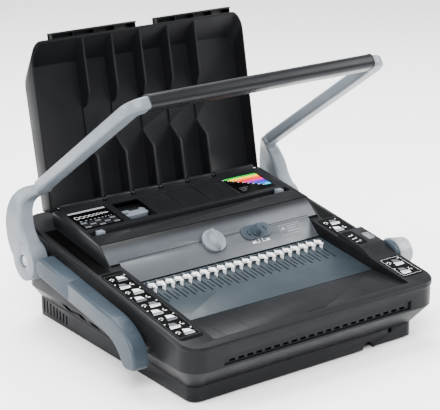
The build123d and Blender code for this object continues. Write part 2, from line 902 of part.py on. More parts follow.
punch_pins.part.label = "punch_pins"
export_step(punch_pins.part, "parts/punch_pins.step")

punch_rack_z = pivot_z + pitch_radius
with BuildPart() as punch_racks:
    for x in (-gear_inner_x, gear_inner_x + drive_gear_width):
        rack_plane = Plane(origin=(x, pivot_y, punch_rack_z), x_dir=(0, 1, 0), z_dir=(-1, 0, 0))
        with BuildSketch(rack_plane):
            with BuildLine():
                Polyline(*rack_points(drive_module, -2, 4, 5), close=True)
            make_face()
        extrude(amount=drive_gear_width)
        block(
            x - drive_gear_width,
            x,
            punch_bar_y,
            pivot_y - 2 * pi * drive_module + 0.01,
            punch_rack_z + dedendum * drive_module,
            punch_rack_z + dedendum * drive_module + 5,
        )
        block(
            x - drive_gear_width,
            x,
            punch_bar_y,
            punch_bar_y + punch_bar_depth,
            pin_z - 8,
            punch_rack_z + dedendum * drive_module + 5,
        )

punch_racks.part.label = "punch_racks"
export_step(punch_racks.part, "parts/punch_racks.step")

# ---------------------------------------------------------------- wire closer carriage
closer_rack_z = pivot_z - pitch_radius
closer_rod_bottom = closer_rack_z - dedendum * drive_module - 6
closer_bar_y = -162.0
with BuildPart() as closer_rods:
    for x in (-outer_gear_x - drive_gear_width, outer_gear_x):
        rack_plane = Plane(origin=(x, pivot_y, closer_rack_z), x_dir=(0, 1, 0), z_dir=(1, 0, 0))
        with BuildSketch(rack_plane):
            with BuildLine():
                Polyline(*rack_points(drive_module, -4, 2, 6), close=True)
            make_face()
        extrude(amount=drive_gear_width)
        block(
            x,
            x + drive_gear_width,
            closer_bar_y,
            pivot_y - 4 * pi * drive_module + 0.01,
            closer_rod_bottom,
            closer_rack_z - dedendum * drive_module,
        )

closer_rods.part.label = "closer_rods"
export_step(closer_rods.part, "parts/closer_rods.step")

with BuildPart() as closer_bar:
    block(
        -outer_gear_x - drive_gear_width,
        outer_gear_x + drive_gear_width,
        closer_bar_y,
        closer_bar_y + 10,
        62,
        closer_rod_bottom,
    )

closer_bar.part.label = "closer_bar"
export_step(closer_bar.part, "parts/closer_bar.step")

# ---------------------------------------------------------------- handle
with BuildPart() as handle_shaft:
    rod_x(-hub_inner_x - 16, hub_inner_x + 16, pivot_y, pivot_z, shaft_radius)

handle_shaft.part.label = "handle_shaft"
export_step(handle_shaft.part, "parts/handle_shaft.step")

with BuildPart() as drive_gears:
    # Inner pair drives the punch racks above, outer pair the closer racks below
    for x, first in (
        (-gear_inner_x - drive_gear_width, pi / 2),
        (gear_inner_x, pi / 2),
        (-outer_gear_x - drive_gear_width, -pi / 2),
        (outer_gear_x, -pi / 2),
    ):
        with BuildSketch(Plane.YZ.offset(x)):
            with BuildLine():
                Polyline(*gear_points(drive_module, drive_teeth, (pivot_y, pivot_z), first), close=True)
            make_face()
            with Locations((pivot_y, pivot_z)):
                Circle(shaft_radius, mode=Mode.SUBTRACT)
        extrude(amount=drive_gear_width)

drive_gears.part.label = "drive_gears"
export_step(drive_gears.part, "parts/drive_gears.step")

# The straight stretch of each arm lies along this direction, seen from the side
arm_along = (-0.823, 0.568)
arm_up = (0.568, 0.823)
bar_along = bar_y * arm_along[0] + bar_z * arm_along[1]
bar_up = bar_y * arm_up[0] + bar_z * arm_up[1]
arm_end = bar_along - arm_bend_radius
arm_mid_x = arm_inner_x + arm_width / 2
bar_half_length = arm_mid_x - arm_bend_radius
hub_mid_x = hub_inner_x + hub_thickness / 2


def arm_section_plane(x):
    """Side plane of the arm at X: first axis along the arm, second axis above it."""
    return Plane(origin=(x, 0, 0), x_dir=(0, arm_along[0], arm_along[1]), z_dir=(-1, 0, 0))


# Sections up the curved neck: X, Y, Z of the middle, then the half width in side view
# and the direction the neck runs in
neck = (
    (hub_mid_x, pivot_y + 4, pivot_z + 6, 25.5, (0.35, 0.94)),
    (hub_mid_x, 178.0, 126.0, 26.5, (0.4, 0.92)),
    (hub_mid_x, 187.0, 149.0, 23.0, (0.15, 0.99)),
    (hub_mid_x - 2, 188.5, 169.0, 18.5, (-0.12, 0.99)),
    (hub_inner_x + 5, 186.5, 184.0, 13.5, (-0.42, 0.91)),
    (hub_inner_x - 4.5, 178.0, 195.5, 9.5, (-0.72, 0.69)),
    (arm_mid_x, 158.0, 208.6, 8.25, arm_along),
)

with BuildPart() as handle_arm_right:
    for x, y, z, half_width, (run_y, run_z) in neck:
        with BuildSketch(Plane(origin=(x, y, z), x_dir=(1, 0, 0), z_dir=(0, run_y, run_z))):
            RectangleRounded(hub_thickness if x > hub_inner_x + 2 else arm_width, 2 * half_width, 5)
    loft()
    with BuildSketch(Plane.YZ.offset(hub_inner_x)):
        with Locations((pivot_y, pivot_z)):
            Circle(hub_radius)
    extrude(amount=hub_thickness)
    with BuildSketch(Plane(origin=(arm_mid_x, 158.0, 208.6), x_dir=(1, 0, 0), z_dir=(0, *arm_along))):
        RectangleRounded(arm_width, arm_height, 4.5)
    straight = arm_end - (158.0 * arm_along[0] + 208.6 * arm_along[1])
    extrude(amount=straight)
    end_face = handle_arm_right.faces().sort_by(Axis((0, 0, 0), (0, *arm_along)))[-1]
    bend_centre = (
        bar_half_length,
        arm_end * arm_along[0] + bar_up * arm_up[0],
        arm_end * arm_along[1] + bar_up * arm_up[1],
    )
    revolve(end_face, axis=Axis(bend_centre, (0, -arm_up[0], -arm_up[1])), revolution_arc=90)
    # Cells between the ribs of the open underside, each with a sloping floor
    for i in range(9):
        along = 8.0 + 26.0 * i
        under = bar_up - arm_height / 2
        with BuildSketch(arm_section_plane(arm_mid_x + 9)):
            with BuildLine():
                Polyline(
                    (along, under - 1),
                    (along + 23, under - 1),
                    (along + 23, under + 11),
                    (along, under + 4),
                    close=True,
                )
            make_face()
        extrude(amount=18, mode=Mode.SUBTRACT)
    # Bore for the shaft and the recess of the pivot screw
    rod_x(hub_inner_x - 1, hub_inner_x + 16, pivot_y, pivot_z, shaft_radius, mode=Mode.SUBTRACT)
    rod_x(
        hub_inner_x + 19, hub_inner_x + hub_thickness + 1, pivot_y, pivot_z, 9.5, mode=Mode.SUBTRACT
    )
    rod_x(hub_inner_x + 10, hub_inner_x + 20, pivot_y, pivot_z, 2.5, mode=Mode.SUBTRACT)

handle_arm_right.part.label = "handle_arm_right"
export_step(handle_arm_right.part, "parts/handle_arm_right.step")

with BuildPart() as handle_arm_left:
    mirror(handle_arm_right.part, about=Plane.YZ)

handle_arm_left.part.label = "handle_arm_left"
export_step(handle_arm_left.part, "parts/handle_arm_left.step")

with BuildPart() as grip_bar:
    bar_plane = Plane(
        origin=(-bar_half_length + 1, bar_y, bar_z),
        x_dir=(0, arm_along[0], arm_along[1]),
        z_dir=(1, 0, 0),
    )
    with BuildSketch(bar_plane):
        RectangleRounded(bar_depth, bar_height, 8)
    extrude(amount=2 * bar_half_length - 2)

grip_bar.part.label = "grip_bar"
export_step(grip_bar.part, "parts/grip_bar.step")

with BuildPart() as grip_rings:
    for x in (-bar_half_length + seat_gap, bar_half_length - 1):
        with BuildSketch(bar_plane.offset(x + bar_half_length - 1)):
            RectangleRounded(bar_depth + 1, bar_height + 1, 8.4)
        extrude(amount=1 - seat_gap)

grip_rings.part.label = "grip_rings"
export_step(grip_rings.part, "parts/grip_rings.step")

with BuildPart() as arm_screws:
    for side in (-1, 1):
        head = side * (hub_inner_x + 20.5)
        rod_x(head - 1.5, head + 1.5, pivot_y, pivot_z, 7)
        shank = side * (hub_inner_x + 17.5)
        rod_x(shank - 1.5, shank + 1.5, pivot_y, pivot_z, 2.5)

arm_screws.part.label = "arm_screws"
export_step(arm_screws.part, "parts/arm_screws.step")

# ---------------------------------------------------------------- lid
with BuildPart() as lid_hollow:
    with BuildSketch(lid_plane(lid_half_width - lid_wall)):
        with BuildLine():
            Polyline(
                (5, 0),
                (-lid_depth_foot, 0),
                (-lid_depth_top, lid_fold),
                (0, lid_length),
                (5, lid_length),
                close=True,
            )
        make_face()
    extrude(amount=2 * (lid_half_width - lid_wall))
    upright = lid_hollow.edges().filter_by(
        lambda e: abs(e.center().X) > lid_half_width - lid_wall - 0.1
    )
    top_edges = upright.sort_by(Axis((0, 0, 0), (0, sin(lean), cos(lean))))[-4:]
    fillet([e for e in top_edges if e.length > 20], lid_corner - lid_wall)

with BuildPart() as lid:
    with BuildSketch(lid_plane(lid_half_width)):
        with BuildLine():
            Polyline(
                (0, -lid_wall),
                (-lid_depth_foot - lid_wall, -lid_wall),
                (-lid_depth_top - lid_wall, lid_fold + 1),
                (0, lid_length + 3.4),
                close=True,
            )
        make_face()
    extrude(amount=2 * lid_half_width)
    upright = lid.edges().filter_by(lambda e: abs(e.center().X) > lid_half_width - 0.1)
    top_edges = upright.sort_by(Axis((0, 0, 0), (0, sin(lean), cos(lean))))[-2:]
    fillet([e for e in top_edges if e.length < 60], lid_corner)
    add(lid_hollow.part, mode=Mode.SUBTRACT)
    # Room for the hinge knuckles at the foot
    with BuildSketch(lid_plane(lid_half_width - lid_wall)):
        with Locations((-2.5, 0)):
            Rectangle(6.4, 12)
    extrude(amount=2 * (lid_half_width - lid_wall), mode=Mode.SUBTRACT)
    # Grip tabs past the front edge
    for x0, x1 in ((-146, -4), (30, 164)):
        with BuildSketch(lid_plane(x1)):
            with Locations((-6.5, lid_length + 5)):
                Rectangle(11, 12)
            with Locations((-5.5, lid_length + 5)):
                Rectangle(9, 8, mode=Mode.SUBTRACT)
        extrude(amount=x1 - x0)
    # Fins inside: lower ones carry the hinge lugs
    for x in fin_spots:
        with BuildSketch(lid_plane(x + 2)):
            with BuildLine():
                Polyline(
                    (-lid_depth_foot - 1, -1),
                    (-lid_depth_foot - 2, 88),
                    (-3, 66),
                    (-0.5, 62),
                    (-0.5, 6),
                    (-0.5, 1),
                    close=True,
                )
            make_face()
            with Locations((-0.3, 1.0)):
                Circle(4)
        extrude(amount=4)
        with BuildSketch(lid_plane(x + 1.5)):
            with BuildLine():
                Polyline(
                    (-lid_depth_top - 0.2, lid_fold - 69),
                    (-14, lid_fold - 64),
                    (-1, lid_fold - 45),
                    (-1, lid_length - 0.5),
                    (-lid_depth_top - 0.5, lid_fold),
                    close=True,
                )
            make_face()
        extrude(amount=3)
    rod_x(
        -lid_half_width + 10,
        lid_half_width - 10,
        hinge_y,
        hinge_z,
        hinge_rod_radius + running_fit,
        mode=Mode.SUBTRACT,
    )

lid.part.label = "lid"
export_step(lid.part, "parts/lid.step")

# ---------------------------------------------------------------- comb lever
with BuildPart() as lever_blank:
    with BuildSketch(Plane.YZ.offset(-lever_inner_x - lever_thickness)):
        with BuildLine():
            b1 = Line((112, 120.5), (-60, 94.5))
            b2 = Spline(b1 @ 1, (-102, 76), (-118, 45), tangents=[(-1, -0.151), (0, -1)])
            b3 = Spline(b2 @ 1, (-106, 34), (-88, 38), tangents=[(0, -1), (0.6, 1)])
            b4 = Spline(b3 @ 1, (-70, 58.5), (-27, 71), tangents=[(0.6, 1), (1, 0.15)])
            b5 = Line(b4 @ 1, (113, 92.5))
            ThreePointArc(b5 @ 1, (127, 107), b1 @ 0)
        make_face()
    extrude(amount=lever_thickness)
    fillet(lever_blank.faces().sort_by(Axis.X)[0].edges(), 4)

cap_seam_radius = 62.0
cap_seam_y = 102.0
cap_seam_z = 98.0
cap_x = 10 - lever_inner_x
with BuildPart() as lever_grip_cap:
    add(lever_blank.part)
    rod_x(cap_x - 50, cap_x, cap_seam_y, cap_seam_z, cap_seam_radius, mode=Mode.INTERSECT)

lever_grip_cap.part.label = "lever_grip_cap"
export_step(lever_grip_cap.part, "parts/lever_grip_cap.step")

with BuildPart() as comb_lever_arm:
    add(lever_blank.part)
    rod_x(cap_x - 50, cap_x, cap_seam_y, cap_seam_z, cap_seam_radius + seat_gap, mode=Mode.SUBTRACT)
    rod_x(-lever_inner_x - 14, cap_x, lever_y, lever_z, lever_shaft_radius, mode=Mode.SUBTRACT)

comb_lever_arm.part.label = "comb_lever_arm"
export_step(comb_lever_arm.part, "parts/comb_lever_arm.step")

with BuildPart() as lever_shaft:
    rod_x(-lever_inner_x - 14, post_x + 6, lever_y, lever_z, lever_shaft_radius)

lever_shaft.part.label = "lever_shaft"
export_step(lever_shaft.part, "parts/lever_shaft.step")

lever_gear_x = post_x - 12
with BuildPart() as lever_pinion:
    with BuildSketch(Plane.YZ.offset(lever_gear_x)):
        with BuildLine():
            Polyline(*gear_points(small_module, small_teeth, (lever_y, lever_z), pi / 2), close=True)
        make_face()
        with Locations((lever_y, lever_z)):
            Circle(lever_shaft_radius, mode=Mode.SUBTRACT)
    extrude(amount=8)

lever_pinion.part.label = "lever_pinion"
export_step(lever_pinion.part, "parts/lever_pinion.step")

# ---------------------------------------------------------------- hook carriage
hook_rack_z = lever_z + small_radius
with BuildPart() as hook_slide:
    rack_plane = Plane(
        origin=(lever_gear_x + 8, lever_y, hook_rack_z), x_dir=(0, 1, 0), z_dir=(-1, 0, 0)
    )
    with BuildSketch(rack_plane):
        with BuildLine():
            Polyline(*rack_points(small_module, -3, 9, 5), close=True)
        make_face()
    extrude(amount=8)
    rack_bottom = hook_rack_z + dedendum * small_module
    block(lever_gear_x, lever_gear_x + 8, lever_y + 9 * pi - 0.01, -24, rack_bottom, rack_bottom + 5)
    block(lever_gear_x, row_half + 8, -36, -24, rack_bottom, rack_bottom + 7)

hook_slide.part.label = "hook_slide"
export_step(hook_slide.part, "parts/hook_slide.step")

with BuildPart() as hook_comb:
    for x in slot_spots:
        with BuildSketch(Plane.YZ.offset(x - 0.8)):
            with BuildLine():
                Polyline(
                    (-32, rack_bottom + 7),
                    (-27, rack_bottom + 7),
                    (-27, 101.2),
                    (-19, 101.2),
                    (-19, 100.2),
                    (-16, 100.2),
                    (-16, 104.6),
                    (-32, 104.6),
                    close=True,
                )
            make_face()
        extrude(amount=1.6)
        # Each hook carries a flat head, T-shaped from above
        block(x - 4.6, x + 4.6, -24, -18, 101.2, 104.6)
        block(x - 1.9, x + 1.9, -32, -23.5, 102.4, 104.6)

hook_comb.part.label = "hook_comb"
export_step(hook_comb.part, "parts/hook_comb.step")

# ---------------------------------------------------------------- edge guides
with BuildPart() as edge_knob:
    with BuildSketch(fascia_plane.offset(moving_gap)):
        with Locations((knob_x, knob_up)):
            Circle(knob_radius)
    extrude(amount=knob_height)
    fillet(edge_knob.faces().sort_by(Axis.Z)[-1].edges(), 2)
    with BuildSketch(fascia_plane.offset(moving_gap)):
        with Locations((knob_x, knob_up)):
            Circle(dial_shaft_radius)
    extrude(amount=-15 - moving_gap)

edge_knob.part.label = "edge_knob"
export_step(edge_knob.part, "parts/edge_knob.step")

guide_gear_depth = 14.0
guide_gear_width = 6.0
with BuildPart() as guide_pinion:
    with BuildSketch(fascia_plane.offset(-guide_gear_depth)):
        with BuildLine():
            Polyline(*gear_points(small_module, small_teeth, (knob_x, knob_up), pi / 2), close=True)
        make_face()
        with Locations((knob_x, knob_up)):
            Circle(dial_shaft_radius, mode=Mode.SUBTRACT)
    extrude(amount=guide_gear_width)

guide_pinion.part.label = "guide_pinion"
export_step(guide_pinion.part, "parts/guide_pinion.step")


guide_half_gap = 150.2
guide_width = 10.0
guide_arm_bottom = die_top + 2.5
guide_arm_top = 134.0
block_depth = trough_width - 3.0
stem_width = paper_gap - 2 * 0.4

with BuildPart() as left_edge_guide:
    # Rack above the pinion, from the mesh out to the arm
    with BuildSketch(fascia_plane.offset(-guide_gear_depth)):
        with BuildLine():
            rack = rack_points(small_module, -17, 3, 5)
            Polyline(*[(knob_x + s, knob_up + small_radius - h) for s, h in rack], close=True)
        make_face()
        rail_foot = knob_up + small_radius + dedendum * small_module
        with Locations(((-guide_half_gap - guide_width + knob_x - 17 * pi) / 2, rail_foot + 2.5)):
            Rectangle(guide_half_gap + guide_width + knob_x - 17 * pi + 0.02, 5)
    extrude(amount=guide_gear_width)
    with BuildSketch(Plane.YZ.offset(-guide_half_gap - guide_width)):
        with BuildLine():
            Polyline(
                (39.5, 119.5),
                (50, 119.5),
                (50, guide_arm_bottom),
                (trough_y + stem_width / 2, guide_arm_bottom),
                (trough_y + stem_width / 2, guide_arm_top),
                (44.5, guide_arm_top),
                (40, 127),
                close=True,
            )
        make_face()
    extrude(amount=8)
    block(
        -guide_half_gap - guide_width,
        -guide_half_gap - 2,
        trough_y - stem_width / 2,
        trough_y + stem_width / 2,
        guide_arm_bottom,
        tray_floor_z + 2,
    )
    block(
        -guide_half_gap - guide_width,
        -guide_half_gap,
        trough_y - block_depth / 2,
        trough_y + block_depth / 2,
        tray_floor_z + moving_gap,
        tray(trough_y) + 2.0,
    )

left_edge_guide.part.label = "left_edge_guide"
export_step(left_edge_guide.part, "parts/left_edge_guide.step")

with BuildPart() as right_edge_guide:
    # Rack below the pinion
    with BuildSketch(fascia_plane.offset(-guide_gear_depth)):
        with BuildLine():
            rack = rack_points(small_module, -3, 17, 5)
            Polyline(*[(knob_x + s, knob_up - small_radius + h) for s, h in rack], close=True)
        make_face()
        rail_foot = knob_up - small_radius - dedendum * small_module
        with Locations(((guide_half_gap + guide_width + knob_x + 17 * pi) / 2, rail_foot - 2.5)):
            Rectangle(guide_half_gap + guide_width - knob_x - 17 * pi + 0.02, 5)
    extrude(amount=guide_gear_width)
    with BuildSketch(Plane.YZ.offset(guide_half_gap + 2)):
        with BuildLine():
            Polyline(
                (21.5, 103.6),
                (27, 103.6),
                (50, 117),
                (50, guide_arm_bottom),
                (trough_y + stem_width / 2, guide_arm_bottom),
                (trough_y + stem_width / 2, guide_arm_top),
                (44.5, guide_arm_top),
                (19, 109.2),
                close=True,
            )
        make_face()
    extrude(amount=8)
    block(
        guide_half_gap + 2,
        guide_half_gap + guide_width,
        trough_y - stem_width / 2,
        trough_y + stem_width / 2,
        guide_arm_bottom,
        tray_floor_z + 2,
    )
    block(
        guide_half_gap,
        guide_half_gap + guide_width,
        trough_y - block_depth / 2,
        trough_y + block_depth / 2,
        tray_floor_z + moving_gap,
        tray(trough_y) + 2.0,
    )

right_edge_guide.part.label = "right_edge_guide"
export_step(right_edge_guide.part, "parts/right_edge_guide.step")

# ---------------------------------------------------------------- selector fin
with BuildPart() as selector_fin:
    with BuildSketch(fascia_plane.offset(seat_gap + 1.6 + moving_gap)):
        with Locations((selector_x, selector_up)):
            Circle(9)
    extrude(amount=1.5)
    with BuildSketch(fascia_plane.offset(seat_gap + 1.6 + moving_gap + 1.5)):
        with Locations((selector_x, selector_up)):
            Ellipse(2.6, 9)
    extrude(amount=9)
    with BuildSketch(fascia_plane.offset(2)):
        with Locations((selector_x, selector_up)):
            Circle(3)
    extrude(amount=-9)

selector_fin.part.label = "selector_fin"
export_step(selector_fin.part, "parts/selector_fin.step")

# ---------------------------------------------------------------- size dial
collar_outer_x = shell_half_width + 7.0
with BuildPart() as dial_collar:
    rod_x(shell_half_width + seat_gap, collar_outer_x, dial_y, dial_z, 21)
    rod_x(inside, collar_outer_x + 5, dial_y, dial_z, dial_shaft_radius + running_fit, mode=Mode.SUBTRACT)

dial_collar.part.label = "dial_collar"
export_step(dial_collar.part, "parts/dial_collar.step")

with BuildPart() as size_dial:
    with BuildSketch(Plane.YZ.offset(collar_outer_x + moving_gap)):
        with Locations((dial_y, dial_z)):
            Circle(dial_radius)
    with BuildSketch(Plane.YZ.offset(dial_outer_x)):
        with Locations((dial_y, dial_z)):
            Circle(dial_rim_radius)
    loft()
    # Grip teeth round the outer rim
    with Locations(Location((dial_outer_x - 3, dial_y, dial_z), (0, 90, 0))):
        with PolarLocations(dial_rim_radius + 1.2, 36):
            Cylinder(0.9, 8, mode=Mode.SUBTRACT)
    rod_x(shell_half_width, dial_outer_x - 10, dial_y, dial_z, dial_shaft_radius, mode=Mode.SUBTRACT)

size_dial.part.label = "size_dial"
export_step(size_dial.part, "parts/size_dial.step")

bracket_x = shell_half_width - 28.0
cam_x = outer_gear_x + drive_gear_width + 1.2
with BuildPart() as dial_shaft:
    rod_x(cam_x, dial_outer_x - 10, dial_y, dial_z, dial_shaft_radius)

dial_shaft.part.label = "dial_shaft"
export_step(dial_shaft.part, "parts/dial_shaft.step")

dial_gear_x = bracket_x + 5.0
with BuildPart() as dial_gear:
    with BuildSketch(Plane.YZ.offset(dial_gear_x)):
        with BuildLine():
            Polyline(*gear_points(small_module, dial_teeth, (dial_y, dial_z), mesh_angle), close=True)
        make_face()
        with Locations((dial_y, dial_z)):
            Circle(dial_shaft_radius, mode=Mode.SUBTRACT)
    extrude(amount=5)

dial_gear.part.label = "dial_gear"
export_step(dial_gear.part, "parts/dial_gear.step")

with BuildPart() as closer_stop_cam:
    with BuildSketch(Plane.YZ.offset(cam_x)):
        with Locations((dial_y, dial_z)):
            Circle(6.5)
        with Locations((dial_y - 1.8, dial_z)):
            Circle(7)
        with Locations((dial_y, dial_z)):
            Circle(dial_shaft_radius, mode=Mode.SUBTRACT)
    extrude(amount=3)

closer_stop_cam.part.label = "closer_stop_cam"
export_step(closer_stop_cam.part, "parts/closer_stop_cam.step")

with BuildPart() as size_drum:
    with BuildSketch(Plane.YZ.offset(dial_gear_x)):
        with BuildLine():
            Polyline(*gear_points(small_module, drum_teeth, (drum_y, drum_z), drum_space), close=True)
        make_face()
    extrude(amount=5)
    rod_x(dial_gear_x + 5, dial_gear_x + 17, drum_y, drum_z, drum_radius)
    rod_x(bracket_x, side_half_width - 1.5, drum_y, drum_z, drum_pin_radius)

size_drum.part.label = "size_drum"
export_step(size_drum.part, "parts/size_drum.step")

with BuildPart() as dial_bracket:
    with BuildSketch(Plane.YZ.offset(bracket_x)):
        with BuildLine():
            Polyline(
                (-112, 76),
                (-56, 76),
                (-56, deck(-56) - shell_wall - seat_gap),
                (-112, deck(-112) - shell_wall - seat_gap),
                close=True,
            )
        make_face()
        with Locations((dial_y, dial_z)):
            Circle(dial_shaft_radius + running_fit, mode=Mode.SUBTRACT)
        with Locations((drum_y, drum_z)):
            Circle(drum_pin_radius + running_fit, mode=Mode.SUBTRACT)
    extrude(amount=3)

dial_bracket.part.label = "dial_bracket"
export_step(dial_bracket.part, "parts/dial_bracket.step")

with BuildPart() as indicator_window:
    with BuildSketch(deck_plane.offset(platform_height - 2.4)):
        with Locations((window_x, window_y)):
            RectangleRounded(11.6, 18.8, 1)
    extrude(amount=2.6)

indicator_window.part.label = "indicator_window"
export_step(indicator_window.part, "parts/indicator_window.step")

# ---------------------------------------------------------------- front flap
flap_front = well_front + 1.3
with BuildPart() as front_flap:
    block(
        -well_half_width + moving_gap,
        well_half_width - moving_gap,
        flap_front,
        flap_y,
        flap_z - flap_pin_radius,
        flap_z + flap_pin_radius,
    )
    rod_x(-well_half_width - 2.5, well_half_width + 2.5, flap_y, flap_z, flap_pin_radius)
    # Finger notch at the free edge
    with BuildSketch(Plane.XY.offset(flap_z - 3)):
        with Locations((6.5, flap_front)):
            RectangleRounded(37, 12, 4)
    extrude(amount=6, mode=Mode.SUBTRACT)

front_flap.part.label = "front_flap"
export_step(front_flap.part, "parts/front_flap.step")

# ---------------------------------------------------------------- chip drawer
drawer_box_half = drawer_half_width - 3
with BuildPart() as chip_drawer:
    block(-drawer_box_half, drawer_box_half, 66, drawer_back, floor_top + moving_gap, 40)
    block(
        2 - drawer_box_half,
        drawer_box_half - 2,
        68,
        drawer_back - 2,
        floor_top + 2.3,
        45,
        mode=Mode.SUBTRACT,
    )
    block(
        -drawer_half_width,
        drawer_half_width,
        drawer_back,
        drawer_back + 3,
        floor_top + moving_gap,
        43.8,
    )
    block(-30, 30, drawer_back + 3, drawer_back + 7, 34, 37)

chip_drawer.part.label = "chip_drawer"
export_step(chip_drawer.part, "parts/chip_drawer.step")

# ---------------------------------------------------------------- gauge tool
with BuildPart() as gauge_tool:
    with BuildSketch(tray_plane.offset(-deep_cell_depth + moving_gap)):
        with Locations((-1.5 * cell_pitch, (cell_front + cell_back) / 2 * tray_stretch)):
            RectangleRounded(40, 18, 4)
            with Locations((4, 9)):
                RectangleRounded(18, 8, 3, mode=Mode.SUBTRACT)
            with Locations((-13, 0)):
                Circle(3, mode=Mode.SUBTRACT)
    extrude(amount=7)

gauge_tool.part.label = "gauge_tool"
export_step(gauge_tool.part, "parts/gauge_tool.step")
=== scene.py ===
"""Looks of the comb binding machine: finishes, printed labels, trims, camera and studio."""

import json
import logging
import math
from dataclasses import dataclass, field
from enum import Enum
from typing import Callable, Optional, Sequence

import bmesh
import bpy
from mathutils import Matrix, Vector

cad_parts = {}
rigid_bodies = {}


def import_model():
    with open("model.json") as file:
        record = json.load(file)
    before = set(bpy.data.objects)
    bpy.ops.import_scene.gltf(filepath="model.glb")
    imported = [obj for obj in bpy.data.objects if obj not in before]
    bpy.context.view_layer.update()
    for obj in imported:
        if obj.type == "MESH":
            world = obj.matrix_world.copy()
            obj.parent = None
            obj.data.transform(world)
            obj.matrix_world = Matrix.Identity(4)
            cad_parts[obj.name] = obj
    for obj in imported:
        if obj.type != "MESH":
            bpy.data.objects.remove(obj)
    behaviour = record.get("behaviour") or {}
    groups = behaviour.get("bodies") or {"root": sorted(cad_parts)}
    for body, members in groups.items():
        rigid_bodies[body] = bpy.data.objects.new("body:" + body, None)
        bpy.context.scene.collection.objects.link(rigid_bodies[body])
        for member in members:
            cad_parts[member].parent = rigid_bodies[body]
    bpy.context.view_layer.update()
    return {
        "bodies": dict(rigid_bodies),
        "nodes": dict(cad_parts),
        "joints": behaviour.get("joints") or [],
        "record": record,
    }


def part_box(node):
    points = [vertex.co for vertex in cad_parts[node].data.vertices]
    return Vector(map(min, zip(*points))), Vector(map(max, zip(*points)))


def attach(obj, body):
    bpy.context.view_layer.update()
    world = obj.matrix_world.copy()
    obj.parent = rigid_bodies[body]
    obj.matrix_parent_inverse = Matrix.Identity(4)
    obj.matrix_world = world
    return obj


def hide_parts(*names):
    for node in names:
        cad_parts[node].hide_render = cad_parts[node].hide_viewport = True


MM = 0.001
FASCIA_MM = 3.0  # thickness of the fascia panels
TRAY_LABEL_MM = 0.3
RAIL_LABEL_MM = 0.4
FLAP_LINE_COUNT = 8
FLAP_LINE_PITCH_MM = 40.0
log = logging.getLogger("binding_machine")

Point2 = tuple[float, float]


def linear(hex_colour: str) -> tuple[float, float, float, float]:
    """Turns an sRGB hex colour into the linear RGBA that shaders read.

    Args:
        hex_colour: Six hex digits, with or without a leading hash.

    Returns:
        Linear red, green, blue and an alpha of one.
    """
    digits = hex_colour.lstrip("#")
    parts = [int(digits[i : i + 2], 16) / 255 for i in (0, 2, 4)]
    shades = [c / 12.92 if c <= 0.04045 else ((c + 0.055) / 1.055) ** 2.4 for c in parts]
    return (shades[0], shades[1], shades[2], 1.0)


def add_node(
    tree: bpy.types.NodeTree,
    kind: str,
    settings: Optional[dict] = None,
    inputs: Optional[dict] = None,
) -> bpy.types.Node:
    """Adds a node with its settings, constants and links.

    Args:
        tree: Tree that the node joins.
        kind: Blender's name of the node type.
        settings: Properties of the node itself.
        inputs: Input names or indices with a constant or another node's output.

    Returns:
        The new node.
    """
    node = tree.nodes.new(kind)
    for name, value in (settings or {}).items():
        setattr(node, name, value)
    for name, value in (inputs or {}).items():
        if isinstance(value, bpy.types.NodeSocket):
            tree.links.new(value, node.inputs[name])
        else:
            node.inputs[name].default_value = value
    return node


class Grain(Enum):
    """How a surface was made, which sets the kind of relief it carries."""

    SPARK = "spark eroded mould texture"
    ORANGE_PEEL = "sprayed powder coat"
    BRUSHED = "drawn along one axis"
    POLISHED = "smooth gloss"


